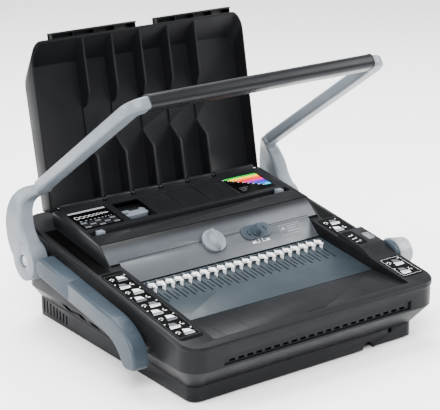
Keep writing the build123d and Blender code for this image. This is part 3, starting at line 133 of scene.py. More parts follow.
# ---- finishes
@dataclass(frozen=True)
class Finish:
    """A surface finish with cloudy tone, relief and uneven gloss."""

    name: str
    colour: str
    shade: str
    roughness: float = 0.5
    spread: float = 0.08
    grain: Grain = Grain.SPARK
    grain_mm: float = 1.4
    relief_mm: float = 0.03
    metallic: float = 0.0
    ior: float = 1.5
    coat: float = 0.0
    coat_roughness: float = 0.1
    along: tuple[float, float, float] = (0.04, 1.0, 1.0)
    cloud_mm: float = 45.0
    transmission: float = 0.0
    fade: Optional[tuple[str, float, float]] = None
    specular: float = 0.25
    alpha: float = 1.0

    def build(self) -> bpy.types.Material:
        """Builds the node tree, or returns it if it was built before."""
        made = bpy.data.materials.get(self.name)
        if made:
            return made
        material = bpy.data.materials.new(self.name)
        material.use_nodes = True
        tree = material.node_tree
        tree.nodes.clear()
        place = add_node(tree, "ShaderNodeTexCoord").outputs["Object"]
        stretch = self.along if self.grain is Grain.BRUSHED else (1.0, 1.0, 1.0)
        fine_place = add_node(tree, "ShaderNodeMapping", None, {"Vector": place, "Scale": stretch})
        noises = []
        for spot, cell_mm, detail, roughness in (
            (place, self.cloud_mm, 3.0, 0.6),
            (fine_place.outputs[0], self.grain_mm, 2.0, 0.55),
        ):
            inputs = {"Vector": spot, "Scale": 1 / (cell_mm * MM), "Detail": detail}
            noises.append(
                add_node(tree, "ShaderNodeTexNoise", None, {**inputs, "Roughness": roughness})
            )
        cloud, fine = noises
        tone = add_node(
            tree,
            "ShaderNodeMapRange",
            None,
            {"Value": cloud.outputs["Fac"], "From Min": 0.3, "From Max": 0.7},
        )
        fleck = add_node(
            tree,
            "ShaderNodeMath",
            {"operation": "MULTIPLY_ADD"},
            {0: fine.outputs["Fac"], 1: 0.5, 2: -0.25},
        )
        mixed = add_node(
            tree,
            "ShaderNodeMath",
            {"operation": "ADD", "use_clamp": True},
            {0: tone.outputs[0], 1: fleck.outputs[0]},
        )
        colour = add_node(
            tree,
            "ShaderNodeMix",
            {"data_type": "RGBA"},
            {0: mixed.outputs[0], 6: linear(self.colour), 7: linear(self.shade)},
        )
        if self.fade:
            target, low_mm, high_mm = self.fade
            height = add_node(tree, "ShaderNodeSeparateXYZ", None, {0: place})
            share = add_node(
                tree,
                "ShaderNodeMapRange",
                {"interpolation_type": "SMOOTHSTEP"},
                {"Value": height.outputs["Z"], "From Min": low_mm * MM, "From Max": high_mm * MM},
            )
            colour = add_node(
                tree,
                "ShaderNodeMix",
                {"data_type": "RGBA"},
                {0: share.outputs[0], 6: colour.outputs[2], 7: linear(target)},
            )
        gloss = add_node(
            tree,
            "ShaderNodeMapRange",
            None,
            {
                "Value": mixed.outputs[0],
                "To Min": max(0.02, self.roughness - self.spread),
                "To Max": self.roughness + self.spread,
            },
        )
        shader = add_node(
            tree,
            "ShaderNodeBsdfPrincipled",
            None,
            {
                "Base Color": colour.outputs[2],
                "Roughness": gloss.outputs[0],
                "Metallic": self.metallic,
                "Coat Weight": self.coat,
                "Coat Roughness": self.coat_roughness,
                "Transmission Weight": self.transmission,
                "Alpha": self.alpha,
            },
        )
        if self.metallic < 0.5:
            shader.inputs["IOR"].default_value = self.ior
            shader.inputs["Specular IOR Level"].default_value = self.specular
        if self.grain is not Grain.POLISHED:
            bump = add_node(
                tree,
                "ShaderNodeBump",
                None,
                {"Strength": 0.6, "Distance": self.relief_mm * MM, "Height": fine.outputs["Fac"]},
            )
            tree.links.new(bump.outputs[0], shader.inputs["Normal"])
        out = add_node(tree, "ShaderNodeOutputMaterial")
        tree.links.new(shader.outputs[0], out.inputs["Surface"])
        material.diffuse_color = linear(self.colour)
        return material


# Charcoal ABS from a spark-eroded mould: a dark satin skin with a fine even sparkle.
CHARCOAL_ABS = Finish(
    "charcoal_abs_moulded", "#121315", "#0d0e10", 0.36, 0.06, relief_mm=0.05, specular=0.1
)
# The same ABS inside the lid, smoother, so it mirrors a little more light.
LID_ABS = Finish(
    "charcoal_abs_lid", "#0f1011", "#0b0b0d", 0.36, 0.06, relief_mm=0.03, specular=0.1
)
# Base tray ABS, a shade cooler than the housing above it.
BASE_ABS = Finish(
    "slate_black_abs_moulded", "#111214", "#0d0d0f", 0.38, 0.06, relief_mm=0.05, specular=0.1
)
# Pale grey ABS of the arms: satin, almost smooth, with a soft broad highlight.
PALE_ABS = Finish("pale_grey_abs_satin", "#62686e", "#596066", 0.34, 0.05, relief_mm=0.012)
# Pale grey acetal of the knob, waxy and smooth.
KNOB_ACETAL = Finish(
    "pale_grey_acetal", "#666c72", "#5c6268", 0.3, 0.05, relief_mm=0.008, ior=1.48
)
# White acetal of the comb hooks, bright and slightly waxy.
WHITE_ACETAL = Finish("white_acetal_moulded", "#dfe0e1", "#d2d3d5", 0.3, 0.05, relief_mm=0.008)
# Silver-grey ABS with metal flake in the melt, so it looks sprayed with fine silver.
SILVER_ABS = Finish(
    "silver_flake_abs", "#46494d", "#3d4044", 0.36, 0.06,
    grain_mm=1.1, relief_mm=0.02, metallic=0.2
)
# Graphite flake ABS above the parting line, which darkens towards the tray.
DARK_FASCIA = Finish(
    "graphite_flake_abs",
    "#44474b",
    "#3b3e42",
    0.34,
    0.06,
    grain_mm=1.1,
    relief_mm=0.02,
    metallic=0.2,
    specular=0.15,
    fade=("#101113", 134.0, 144.5),
)
# Blue-grey powder coat on folded steel: slight orange peel and a cool sheen.
PLATE_COAT = Finish(
    "blue_grey_powder_coat",
    "#262e33",
    "#20272c",
    0.37,
    0.06,
    Grain.ORANGE_PEEL,
    grain_mm=2.2,
    relief_mm=0.03,
    specular=0.15,
    coat=0.05,
)
# Slate-blue ABS of the lever, selector and dial collar.
SLATE_ABS = Finish(
    "slate_blue_abs_satin", "#303941", "#293138", 0.33, 0.05, relief_mm=0.012, specular=0.15
)
# Dark anodised aluminium extrusion, drawn lengthwise across the machine.
BAR_ANODISED = Finish(
    "dark_anodised_aluminium",
    "#222326",
    "#17181a",
    0.3,
    0.07,
    Grain.BRUSHED,
    grain_mm=1.6,
    relief_mm=0.03,
    metallic=0.75,
)
# Nickel-plated spring steel of hooks and comb fingers.
PLATED_STEEL = Finish(
    "nickel_plated_steel", "#d9dadb", "#c3c5c7", 0.24, 0.06, Grain.BRUSHED,
    relief_mm=0.01, metallic=1.0
)
# Ground tool steel of the punch, gears and frames: grey, with fine lengthwise grinding lines.
TOOL_STEEL = Finish(
    "ground_tool_steel", "#9c9ea1", "#85878b", 0.36, 0.08, Grain.BRUSHED,
    relief_mm=0.02, metallic=1.0
)
# Sintered bronze of the bushes, a dull brown gold.
BRONZE = Finish("sintered_bronze", "#b08a55", "#8f6d40", 0.42, 0.08, relief_mm=0.02, metallic=1.0)
# Soft black nitrile of the feet, dull and slightly grained.
NITRILE = Finish(
    "nitrile_rubber_moulded", "#151515", "#101011", 0.78, 0.08, relief_mm=0.06, ior=1.52
)
# Laminated polycarbonate label, a deep black that stays dark at every angle.
LABEL_BLACK = Finish(
    "gloss_black_laminate", "#030303", "#020202", 0.28, 0.04, Grain.POLISHED, specular=0.04
)
# Clear polycarbonate window, almost invisible but for its gloss.
CLEAR_WINDOW = Finish(
    "clear_polycarbonate",
    "#f4f6f7",
    "#eef1f3",
    0.06,
    0.02,
    Grain.POLISHED,
    ior=1.58,
    specular=0.5,
    alpha=0.1,
)
# Translucent light grey dial, moulded in frosted styrene.
DIAL_STYRENE = Finish(
    "frosted_grey_styrene", "#8b9094", "#7f8488", 0.3, 0.06, relief_mm=0.01, transmission=0.15
)
# Black soft TPE of the rings at the ends of the grip bar, dull beside the anodised tube.
BLACK_TPE = Finish("black_tpe", "#141416", "#0f0f11", 0.55, 0.05, relief_mm=0.02)


@dataclass(frozen=True)
class Ink(Finish):
    """Screen-printed ink under a gloss laminate, with a faint dot screen in its tone."""

    roughness: float = 0.22
    spread: float = 0.03
    grain: Grain = Grain.POLISHED
    grain_mm: float = 0.9
    cloud_mm: float = 12.0
    specular: float = 0.06


INK_WHITE = Ink("ink_white", "#cfd0d1", "#c3c4c6")
INK_GREY = Ink("ink_light_grey", "#85878a", "#787a7e")
INK_MID = Ink("ink_mid_grey", "#4f5256", "#46494c")
INK_DARK = Ink("ink_dark_grey", "#1d1e20", "#18191b")
INK_BLACK = Ink("ink_black", "#0c0c0d", "#08080a")
INK_GREEN = Ink("ink_green", "#1f9a34", "#1a8a2d")
INK_YELLOW = Ink("ink_yellow", "#e6c800", "#dbbc00")
INK_ORANGE = Ink("ink_orange", "#e26a08", "#d66004")
INK_RED = Ink("ink_red", "#c81818", "#b81212")
INK_MAGENTA = Ink("ink_magenta", "#b8187c", "#a81270")
INK_PURPLE = Ink("ink_purple", "#5f2090", "#531a80")
INK_INDIGO = Ink("ink_indigo", "#222f98", "#1c2888")
INK_BLUE = Ink("ink_blue", "#1460b8", "#1054a6")
INK_CYAN = Ink("ink_cyan", "#18a6c4", "#1298b4")
WARM_INKS = (INK_GREEN, INK_YELLOW, INK_ORANGE, INK_RED, INK_MAGENTA)
RAINBOW = WARM_INKS + (INK_PURPLE, INK_INDIGO, INK_BLUE, INK_CYAN)


# ---- mesh helpers
def link_mesh(name: str, mesh: bpy.types.Mesh) -> bpy.types.Object:
    """Puts a mesh into the scene as an object at the origin.

    Args:
        name: Name of the new object.
        mesh: Mesh it shows.

    Returns:
        The new object.
    """
    piece = bpy.data.objects.new(name, mesh)
    bpy.context.scene.collection.objects.link(piece)
    return piece


def bake(piece: bpy.types.Object) -> bpy.types.Object:
    """Applies a piece's modifiers to a plain mesh and drops them.

    Args:
        piece: Object with live modifiers.

    Returns:
        The same object, with its evaluated mesh and no modifier.
    """
    graph = bpy.context.evaluated_depsgraph_get()
    mesh = bpy.data.meshes.new_from_object(piece.evaluated_get(graph))
    piece.modifiers.clear()
    piece.data = mesh
    return piece


def smooth_by_angle(mesh: bpy.types.Mesh, degrees: float) -> None:
    """Shades a mesh smooth, with sharp edges where faces meet at a larger angle."""
    limit = math.radians(degrees)
    work = bmesh.new()
    work.from_mesh(mesh)
    for face in work.faces:
        face.smooth = True
    for edge in work.edges:
        if len(edge.link_faces) == 2:
            edge.smooth = edge.calc_face_angle(0.0) < limit
        else:
            edge.smooth = False
    work.to_mesh(mesh)
    work.free()


def rounded_copy(
    frame: dict, node: str, body: str, finish: Finish, bevel_mm: float = 0.5
) -> bpy.types.Object:
    """Copies a CAD node with merged faces and softly rounded edges, and stands it in its place.

    Args:
        frame: The loaded frame.
        node: CAD node to refine.
        body: Body that the piece rides on.
        finish: Finish of the whole piece.
        bevel_mm: Radius on the edges, 0 for none.

    Returns:
        The refined piece.
    """
    mesh = frame["nodes"][node].data.copy()
    mesh.name = node + "_skin"
    work = bmesh.new()
    work.from_mesh(mesh)
    bmesh.ops.remove_doubles(work, verts=work.verts, dist=0.004 * MM)
    bmesh.ops.dissolve_limit(
        work, angle_limit=math.radians(0.6), verts=work.verts, edges=work.edges
    )
    work.to_mesh(mesh)
    work.free()
    mesh.materials.clear()
    mesh.materials.append(finish.build())
    piece = link_mesh(node + "_skin", mesh)
    if bevel_mm > 0:
        bevel = piece.modifiers.new("edge_radius", "BEVEL")
        bevel.width = bevel_mm * MM
        bevel.segments = 2
        bevel.limit_method = "ANGLE"
        bevel.angle_limit = math.radians(35)
        bevel.harden_normals = False
        bake(piece)
    smooth_by_angle(piece.data, 32)
    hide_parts(node)
    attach(piece, body)
    return piece


def dress(frame: dict, finish: Finish, *nodes: str) -> None:
    """Gives CAD nodes a finish and leaves their meshes alone."""
    for node in nodes:
        mesh = frame["nodes"][node].data
        mesh.materials.clear()
        mesh.materials.append(finish.build())


@dataclass(frozen=True)
class Slope:
    """A sloping flat face: u runs along X, v up the slope, both in millimetres."""

    origin: Vector
    along: Vector
    normal: Vector

    @staticmethod
    def on_plate(node: str, thickness_mm: float) -> "Slope":
        """The top face of a thin sloping plate, from its box.

        Args:
            node: CAD node of the plate.
            thickness_mm: Its thickness.

        Returns:
            The slope, with its origin at the front left corner of the top face.
        """
        low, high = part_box(node)
        rise = high.z - low.z - thickness_mm * MM
        run = high.y - low.y
        along = Vector((0, run, rise)).normalized()
        normal = Vector((0, -along.z, along.y))
        return Slope(Vector((low.x, low.y, high.z - rise)), along, normal)

    def at(self, u: float, v: float, lift: float = 0.0) -> Vector:
        """Point at u and v on the face, lifted off it, all in millimetres."""
        return self.origin + Vector((u * MM, 0, 0)) + self.along * v * MM + self.normal * lift * MM


@dataclass
class Print:
    """Flat printed shapes on a slope, gathered into one mesh with one ink per shape."""

    name: str
    slope: Slope
    lift: float = 0.08
    shapes: list[tuple[list[Point2], Finish, float]] = field(default_factory=list)

    def polygon(self, points: Sequence[Point2], ink: Finish, layer: int = 0) -> None:
        """Adds a convex polygon, counter-clockwise seen from above."""
        self.shapes.append((list(points), ink, self.lift + 0.04 * layer))

    def bar(self, u0: float, u1: float, v0: float, v1: float, ink: Finish, layer: int = 0) -> None:
        """Adds a rectangle."""
        self.polygon([(u0, v0), (u1, v0), (u1, v1), (u0, v1)], ink, layer)

    def frame(
        self, u0: float, u1: float, v0: float, v1: float, line: float, ink: Finish, layer: int = 0
    ) -> None:
        """Adds the outline of a rectangle with a line width."""
        self.bar(u0, u1, v0, v0 + line, ink, layer)
        self.bar(u0, u1, v1 - line, v1, ink, layer)
        self.bar(u0, u0 + line, v0 + line, v1 - line, ink, layer)
        self.bar(u1 - line, u1, v0 + line, v1 - line, ink, layer)

    def ring(
        self,
        u: float,
        v: float,
        outer: float,
        inner: float,
        ink: Finish,
        layer: int = 0,
        start: float = 0.0,
        turn: float = 360.0,
    ) -> None:
        """Adds a ring, a disc or an arc of either, as a fan of quads."""
        steps = max(4, int(24 * turn / 360))
        for i in range(steps):
            a = math.radians(start + turn * i / steps)
            b = math.radians(start + turn * (i + 1) / steps)
            points = [
                (u + outer * math.cos(a), v + outer * math.sin(a)),
                (u + outer * math.cos(b), v + outer * math.sin(b)),
            ]
            if inner > 0:
                points.append((u + inner * math.cos(b), v + inner * math.sin(b)))
                points.append((u + inner * math.cos(a), v + inner * math.sin(a)))
            else:
                points.append((u, v))
            self.polygon(points, ink, layer)

    def build(self, body: str) -> bpy.types.Object:
        """Makes the mesh and rides it on a body.

        Args:
            body: Body that the print moves with.

        Returns:
            The printed piece.
        """
        mesh = bpy.data.meshes.new(self.name)
        inks: list[Finish] = []
        verts: list[Vector] = []
        faces: list[list[int]] = []
        slots: list[int] = []
        for points, ink, lift in self.shapes:
            if ink not in inks:
                inks.append(ink)
            start = len(verts)
            verts.extend(self.slope.at(u, v, lift) for u, v in points)
            faces.append(list(range(start, len(verts))))
            slots.append(inks.index(ink))
        mesh.from_pydata([tuple(p) for p in verts], [], faces)
        for ink in inks:
            mesh.materials.append(ink.build())
        for polygon, index in zip(mesh.polygons, slots):
            polygon.material_index = index
        mesh.update()
        piece = link_mesh(self.name, mesh)
        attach(piece, body)
        return piece


def lathe(
    name: str,
    profile: Sequence[Point2],
    centre: Vector,
    axis: Vector,
    finish: Finish,
    steps: int = 64,
) -> bpy.types.Object:
    """Turns a closed profile of radius and height about an axis.

    Args:
        name: Name of the piece.
        profile: Radius and height pairs in millimetres, from the axis out and back to it.
        centre: Foot of the axis.
        axis: Direction of the height.
        finish: Finish of the piece.
        steps: Sides round the axis.

    Returns:
        The turned piece, closed and facing outwards.
    """
    work = bmesh.new()
    turn = axis.to_track_quat("Z", "Y").to_matrix().to_4x4()
    place = Matrix.Translation(centre) @ turn
    rings = []
    for radius, height in profile:
        ring = []
        for i in range(steps):
            angle = 2 * math.pi * i / steps
            spot = Vector((radius * math.cos(angle), radius * math.sin(angle), height)) * MM
            ring.append(work.verts.new(place @ spot))
        rings.append(ring)
    for low, high in zip(rings, rings[1:]):
        for i in range(steps):
            work.faces.new((low[i], low[(i + 1) % steps], high[(i + 1) % steps], high[i]))
    bmesh.ops.remove_doubles(work, verts=work.verts, dist=0.002 * MM)
    bmesh.ops.recalc_face_normals(work, faces=work.faces)
    mesh = bpy.data.meshes.new(name)
    work.to_mesh(mesh)
    work.free()
    mesh.materials.append(finish.build())
    smooth_by_angle(mesh, 35)
    return link_mesh(name, mesh)


def loft_rings(name: str, rings: Sequence[Sequence[Vector]], finish: Finish) -> bpy.types.Object:
    """Skins a stack of closed rings and caps both ends.

    Args:
        name: Name of the piece.
        rings: Rings with equal numbers of points, from foot to top.
        finish: Finish of the piece.

    Returns:
        The closed piece.
    """
    work = bmesh.new()
    made = [[work.verts.new(p) for p in ring] for ring in rings]
    count = len(made[0])
    for low, high in zip(made, made[1:]):
        for i in range(count):
            work.faces.new((low[i], low[(i + 1) % count], high[(i + 1) % count], high[i]))
    work.faces.new(list(reversed(made[0])))
    work.faces.new(made[-1])
    bmesh.ops.recalc_face_normals(work, faces=work.faces)
    mesh = bpy.data.meshes.new(name)
    work.to_mesh(mesh)
    work.free()
    mesh.materials.append(finish.build())
    smooth_by_angle(mesh, 40)
    return link_mesh(name, mesh)


# ---- geometry nodes
def open_tree(
    name: str, sockets: dict[str, str]
) -> tuple[bpy.types.NodeTree, bpy.types.NodeOutputs]:
    """Starts a Geometry Nodes tree with named inputs and a Finish.

    Args:
        name: Name of the tree.
        sockets: Name and kind of each input.

    Returns:
        The tree and its input values.
    """
    tree = bpy.data.node_groups.new(name, "GeometryNodeTree")
    face = tree.interface
    face.new_socket("Geometry", in_out="OUTPUT", socket_type="NodeSocketGeometry")
    for title, kind in {**sockets, "Finish": "Material"}.items():
        face.new_socket(title, in_out="INPUT", socket_type="NodeSocket" + kind)
    return tree, add_node(tree, "NodeGroupInput").outputs


def close_tree(
    tree: bpy.types.NodeTree, last: bpy.types.Node, given: bpy.types.NodeOutputs
) -> bpy.types.NodeTree:
    """Ends a Geometry Nodes tree: its last geometry gets the Finish and goes out."""
    inputs = {"Geometry": last.outputs[0], "Material": given["Finish"]}
    dressed = add_node(tree, "GeometryNodeSetMaterial", None, inputs)
    add_node(tree, "NodeGroupOutput", None, {0: dressed.outputs[0]})
    return tree


def row_tree(name: str) -> bpy.types.NodeTree:
    """A Geometry Nodes tree that repeats a small bar in a straight row.

    Args:
        name: Name of the tree.

    Returns:
        The tree, with inputs Count, Step, Start, Size, Tilt and Finish.
    """
    tree, given = open_tree(
        name,
        {"Count": "Int", "Step": "Vector", "Start": "Vector", "Size": "Vector", "Tilt": "Float"},
    )
    line = add_node(
        tree,
        "GeometryNodeMeshLine",
        {"mode": "OFFSET"},
        {"Count": given["Count"], "Start Location": given["Start"], "Offset": given["Step"]},
    )
    bar = add_node(tree, "GeometryNodeMeshCube", None, {"Size": given["Size"]})
    tilt = add_node(tree, "ShaderNodeCombineXYZ", None, {"X": given["Tilt"]})
    copies = add_node(
        tree,
        "GeometryNodeInstanceOnPoints",
        None,
        {"Points": line.outputs[0], "Instance": bar.outputs[0], "Rotation": tilt.outputs[0]},
    )
    real = add_node(tree, "GeometryNodeRealizeInstances", None, {0: copies.outputs[0]})
    return close_tree(tree, real, given)


def ring_tree(name: str) -> bpy.types.NodeTree:
    """A Geometry Nodes tree that repeats a small bar round a circle about X.

    Args:
        name: Name of the tree.

    Returns:
        The tree, with inputs Count, Radius, Centre, Size and Finish.
    """
    tree, given = open_tree(
        name, {"Count": "Int", "Radius": "Float", "Centre": "Vector", "Size": "Vector"}
    )
    circle = add_node(
        tree,
        "GeometryNodeMeshCircle",
        None,
        {"Vertices": given["Count"], "Radius": given["Radius"]},
    )
    bar = add_node(tree, "GeometryNodeMeshCube", None, {"Size": given["Size"]})
    place = add_node(tree, "GeometryNodeInputPosition")
    facing = add_node(
        tree,
        "FunctionNodeAlignRotationToVector",
        {"axis": "X"},
        {"Vector": place.outputs[0]},
    )
    copies = add_node(
        tree,
        "GeometryNodeInstanceOnPoints",
        None,
        {
            "Points": circle.outputs[0],
            "Instance": bar.outputs[0],
            "Rotation": facing.outputs[0],
        },
    )
    real = add_node(tree, "GeometryNodeRealizeInstances", None, {0: copies.outputs[0]})
    turned = add_node(
        tree,
        "GeometryNodeTransform",
        None,
        {
            "Geometry": real.outputs[0],
            "Translation": given["Centre"],
            "Rotation": (0, math.pi / 2, 0),
        },
    )
    return close_tree(tree, turned, given)


def run_tree(name: str, tree: bpy.types.NodeTree, values: dict, body: str) -> bpy.types.Object:
    """Runs a Geometry Nodes tree once and keeps its result as a plain mesh.

    Args:
        name: Name of the piece.
        tree: Tree to run.
        values: Its named inputs.
        body: Body that the piece rides on.

    Returns:
        The piece, without modifiers.
    """
    piece = link_mesh(name, bpy.data.meshes.new(name))
    modifier = piece.modifiers.new("row", "NODES")
    modifier.node_group = tree
    for item in tree.interface.items_tree:
        if item.in_out == "INPUT" and item.name in values:
            modifier[item.identifier] = values[item.name]
    bake(piece)
    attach(piece, body)
    return piece


# ---- sub-assemblies
@dataclass
class Housing:
    """Upper housing, base tray, feet and the wire strip in the front face."""

    frame: dict
    edge_mm: float = 0.6

    def build(self) -> list[bpy.types.Object]:
        """Makes the shells and their small fittings."""
        made = [
            rounded_copy(self.frame, "upper_housing", "housing", CHARCOAL_ABS, self.edge_mm),
            rounded_copy(self.frame, "base_tray", "housing", BASE_ABS, 0.4),
        ]
        dress(self.frame, NITRILE, "base_feet")
        dress(self.frame, CHARCOAL_ABS, "wire_holder_strip")
        dress(self.frame, TOOL_STEEL, "base_screws", "wire_anvil", "dial_bracket", "lid_hinge_rod")
        dress(self.frame, TOOL_STEEL, "side_frame_left", "side_frame_right", "frame_tie_rods")
        dress(self.frame, TOOL_STEEL, "die_block", "stripper_plate")
        dress(self.frame, BRONZE, "shaft_bushes")
        return made


@dataclass
class BindingDeck:
    """Comb plate, fingers, hooks, front flap and the two fascia panels."""

    frame: dict

    def build(self) -> list[bpy.types.Object]:
        """Makes the deck, the printed marks on the fascia and the painted shade line along its
        parting.
        """
        made = [
            rounded_copy(self.frame, "comb_plate", "housing", PLATE_COAT, 0.25),
            rounded_copy(self.frame, "front_flap", "front_flap", CHARCOAL_ABS, 0.5),
            rounded_copy(self.frame, "lower_fascia", "housing", SILVER_ABS, 0.4),
            rounded_copy(self.frame, "upper_fascia", "housing", DARK_FASCIA, 0.6),
        ]
        dress(self.frame, PLATED_STEEL, "finger_comb")
        dress(self.frame, WHITE_ACETAL, "hook_comb")
        dress(self.frame, TOOL_STEEL, "hook_slide")
        made.append(self.marks())
        made.append(self.flap_lines())
        return made

    def flap_lines(self) -> bpy.types.Object:
        """Shallow raised lines from front to back on the flap."""
        low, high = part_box("front_flap")
        values = {
            "Count": FLAP_LINE_COUNT,
            "Start": (-140 * MM, (low.y + high.y) / 2 - 1 * MM, high.z - 0.05 * MM),
            "Step": (FLAP_LINE_PITCH_MM * MM, 0.0, 0.0),
            "Size": (0.6 * MM, 58 * MM, 0.4 * MM),
            "Tilt": 0.0,
            "Finish": CHARCOAL_ABS.build(),
        }
        return run_tree("flap_lines", row_tree("flap_line_tree"), values, "front_flap")

    def marks(self) -> bpy.types.Object:
        """Brackets and small pictures printed on the silver fascia, and a painted shade line at
        the parting between the two panels.
        """
        slope = fascia_slope()
        sheet = Print("fascia_print_and_gap_shade", slope)
        low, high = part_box("lower_fascia")
        # Painted shade: a thin black strip across the whole fascia at the parting line, standing
        # in for the shadow in the narrow gap between the two panels.
        sheet.bar(low.x / MM, high.x / MM, 36.0, 36.9, INK_BLACK)
        u = slope_u("selector_plate")
        for side in (-1, 1):
            sheet.bar(u + side * 3 - 0.3, u + side * 3 + 0.3, 13.0, 20.0, INK_WHITE)
            ends = sorted((u + side * 3, u + side * 8))
            sheet.bar(ends[0], ends[1], 13.0, 13.6, INK_WHITE)
            picture = u + side * 12
            sheet.bar(picture - 3.2, picture + 3.2, 13.4, 14.6, INK_WHITE)
            for i in range(4):
                tooth = picture - 2.6 + 1.6 * i
                top = 17.4 if side < 0 else 16.6
                sheet.bar(tooth, tooth + 0.7, 14.6, top, INK_WHITE)
        sheet.frame(u + 39, u + 75, 14.5, 31.0, 0.45, INK_GREY)
        sheet.polygon([(u + 41.5, 23.0), (u + 48.5, 23.0), (u + 45.0, 29.0)], INK_GREY)
        for i in range(3):
            sheet.bar(u + 51, u + 71 - 4 * (i % 2), 27.0 - 4 * i, 27.9 - 4 * i, INK_GREY)
        return sheet.build("housing")


def fascia_slope() -> Slope:
    """The face of the lower fascia, with its origin at X = 0 on its lower edge."""
    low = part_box("lower_fascia")[0]
    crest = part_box("upper_fascia")[1]
    along = Vector((0, crest.y - low.y, crest.z - low.z)).normalized()
    thickness = FASCIA_MM * MM
    for _ in range(6):
        normal = Vector((0, -along.z, along.y))
        foot = Vector((0, low.y, low.z + thickness * normal.z))
        top = Vector((0, crest.y + thickness * normal.y, crest.z))
        along = (top - foot).normalized()
    normal = Vector((0, -along.z, along.y))
    return Slope(foot, along, normal)


def slope_u(node: str) -> float:
    """Middle of a node across the machine, in millimetres."""
    low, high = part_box(node)
    return (low.x + high.x) / 2 / MM


def slope_v(node: str, slope: Slope) -> float:
    """Middle of a node up a slope, in millimetres."""
    low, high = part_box(node)
    return ((low + high) / 2 - slope.origin).dot(slope.along) / MM


@dataclass
class Controls:
    """Edge-guide knob, selector and size dial."""

    frame: dict
    knob_radius: float = 18.0
    knob_height: float = 13.4
    disc_height: float = 5.4

    def build(self) -> list[bpy.types.Object]:
        """Makes the three controls."""
        made = [self.knob(), self.knob_fin(), self.selector_fin(), self.selector_arrows()]
        made.append(rounded_copy(self.frame, "selector_plate", "housing", SLATE_ABS, 0.4))
        made.append(rounded_copy(self.frame, "dial_collar", "housing", SLATE_ABS, 0.6))
        made.append(rounded_copy(self.frame, "size_dial", "size_dial", DIAL_STYRENE, 0.4))
        dress(self.frame, TOOL_STEEL, "guide_pinion", "dial_shaft", "dial_gear", "closer_stop_cam")
        made.append(self.dial_teeth())
        return made

    def knob_place(self) -> tuple[Slope, float, float]:
        """Slope of the fascia with the knob's u and v on it."""
        slope = fascia_slope()
        return slope, slope_u("guide_pinion"), slope_v("guide_pinion", slope)

    def knob(self) -> bpy.types.Object:
        """Turned knob with a skirt, a dished face and a rounded rim."""
        slope, u, v = self.knob_place()
        r, h = self.knob_radius, self.disc_height
        skirt = [(0.0, 0.3), (r - 0.6, 0.3), (r, 0.9), (r, h - 1.8), (r - 0.3, h - 0.9)]
        face = [(r - 1.0, h - 0.3), (r - 2.0, h), (r - 3.2, h - 0.2), (r - 6.0, h - 0.7)]
        profile = skirt + face + [(0.0, h - 1.0)]
        piece = lathe("edge_knob_cap", profile, slope.at(u, v), slope.normal, KNOB_ACETAL, 96)
        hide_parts("edge_knob")
        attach(piece, "edge_knob")
        return piece

    def lens(
        self,
        name: str,
        slope: Slope,
        spot: tuple[float, float, float],
        size: tuple[float, float, float],
        turn: float,
        finish: Finish,
    ) -> bpy.types.Object:
        """A lens-shaped grip fin that tapers towards its top.

        Args:
            name: Name of the piece.
            slope: Face that it stands on.
            spot: Its u, v and foot height.
            size: Half length, half width and height.
            turn: Angle of its length from u, in degrees.
            finish: Finish of the fin.

        Returns:
            The fin.
        """
        u, v, foot = spot
        half_length, half_width, height = size
        angle = math.radians(turn)
        rings = []
        for share, scale in ((0.0, 1.0), (0.4, 0.66), (0.75, 0.42), (0.95, 0.28), (1.0, 0.16)):
            ring = []
            for i in range(48):
                t = 2 * math.pi * i / 48
                a = half_length * (1.0 - 0.16 * share * share) * math.cos(t)
                b = half_width * scale * math.sin(t) * (0.55 + 0.45 * abs(math.sin(t)))
                du = a * math.cos(angle) - b * math.sin(angle)
                dv = a * math.sin(angle) + b * math.cos(angle)
                ring.append(slope.at(u + du, v + dv, foot + height * share))
            rings.append(ring)
        return loft_rings(name, rings, finish)

    def knob_fin(self) -> bpy.types.Object:
        """Raised lens across the knob's face."""
        slope, u, v = self.knob_place()
        foot = self.disc_height - 1.3
        size = (self.knob_radius - 0.4, 7.0, self.knob_height - foot)
        piece = self.lens("edge_knob_fin", slope, (u, v, foot), size, 86, KNOB_ACETAL)
        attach(piece, "edge_knob")
        return piece

    def selector_fin(self) -> bpy.types.Object:
        """Fin and foot disc of the selector."""
        slope = fascia_slope()
        u = slope_u("selector_plate")
        v = slope_v("selector_plate", slope)
        piece = self.lens("selector_grip", slope, (u, v, 2.1), (9.0, 4.6, 9.8), 90, SLATE_ABS)
        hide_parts("selector_fin")
        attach(piece, "punch_selector")
        disc = lathe(
            "selector_disc",
            [(0, 2.0), (8.6, 2.0), (9.0, 2.4), (8.8, 3.2), (0, 3.4)],
            slope.at(u, v),
            slope.normal,
            SLATE_ABS,
        )
        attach(disc, "punch_selector")
        return piece

    def selector_arrows(self) -> bpy.types.Object:
        """Two small curved arrows at the ends of the selector plate."""
        slope = fascia_slope()
        u = slope_u("selector_plate")
        v = slope_v("selector_plate", slope)
        sheet = Print("selector_arrows", slope, lift=1.85)
        for side in (-1, 1):
            centre = u + side * 12.5
            start = 120 if side < 0 else -60
            sheet.ring(centre, v, 4.2, 3.2, INK_BLACK, 0, start, 120)
            tip = math.radians(start + 120)
            a, b = centre + 3.7 * math.cos(tip), v + 3.7 * math.sin(tip)
            run = Vector((-math.sin(tip), math.cos(tip)))
            out = Vector((math.cos(tip), math.sin(tip)))
            wing, nose = out * 1.7, run * 2.4
            points = [(a + p.x, b + p.y) for p in (wing, nose, -wing)]
            sheet.polygon(points, INK_BLACK)
        return sheet.build("housing")

    def dial_teeth(self) -> bpy.types.Object:
        """Fine teeth round the outer face of the size dial."""
        low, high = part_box("size_dial")
        centre = (low + high) / 2
        tree = ring_tree("dial_teeth_tree")
        values = {
            "Count": 30,
            "Radius": 18.2 * MM,
            "Centre": (high.x - 0.5 * MM, centre.y, centre.z),
            "Size": (1.6 * MM, 1.4 * MM, 1.0 * MM),
            "Finish": DIAL_STYRENE.build(),
        }
        return run_tree("dial_teeth", tree, values, "size_dial")


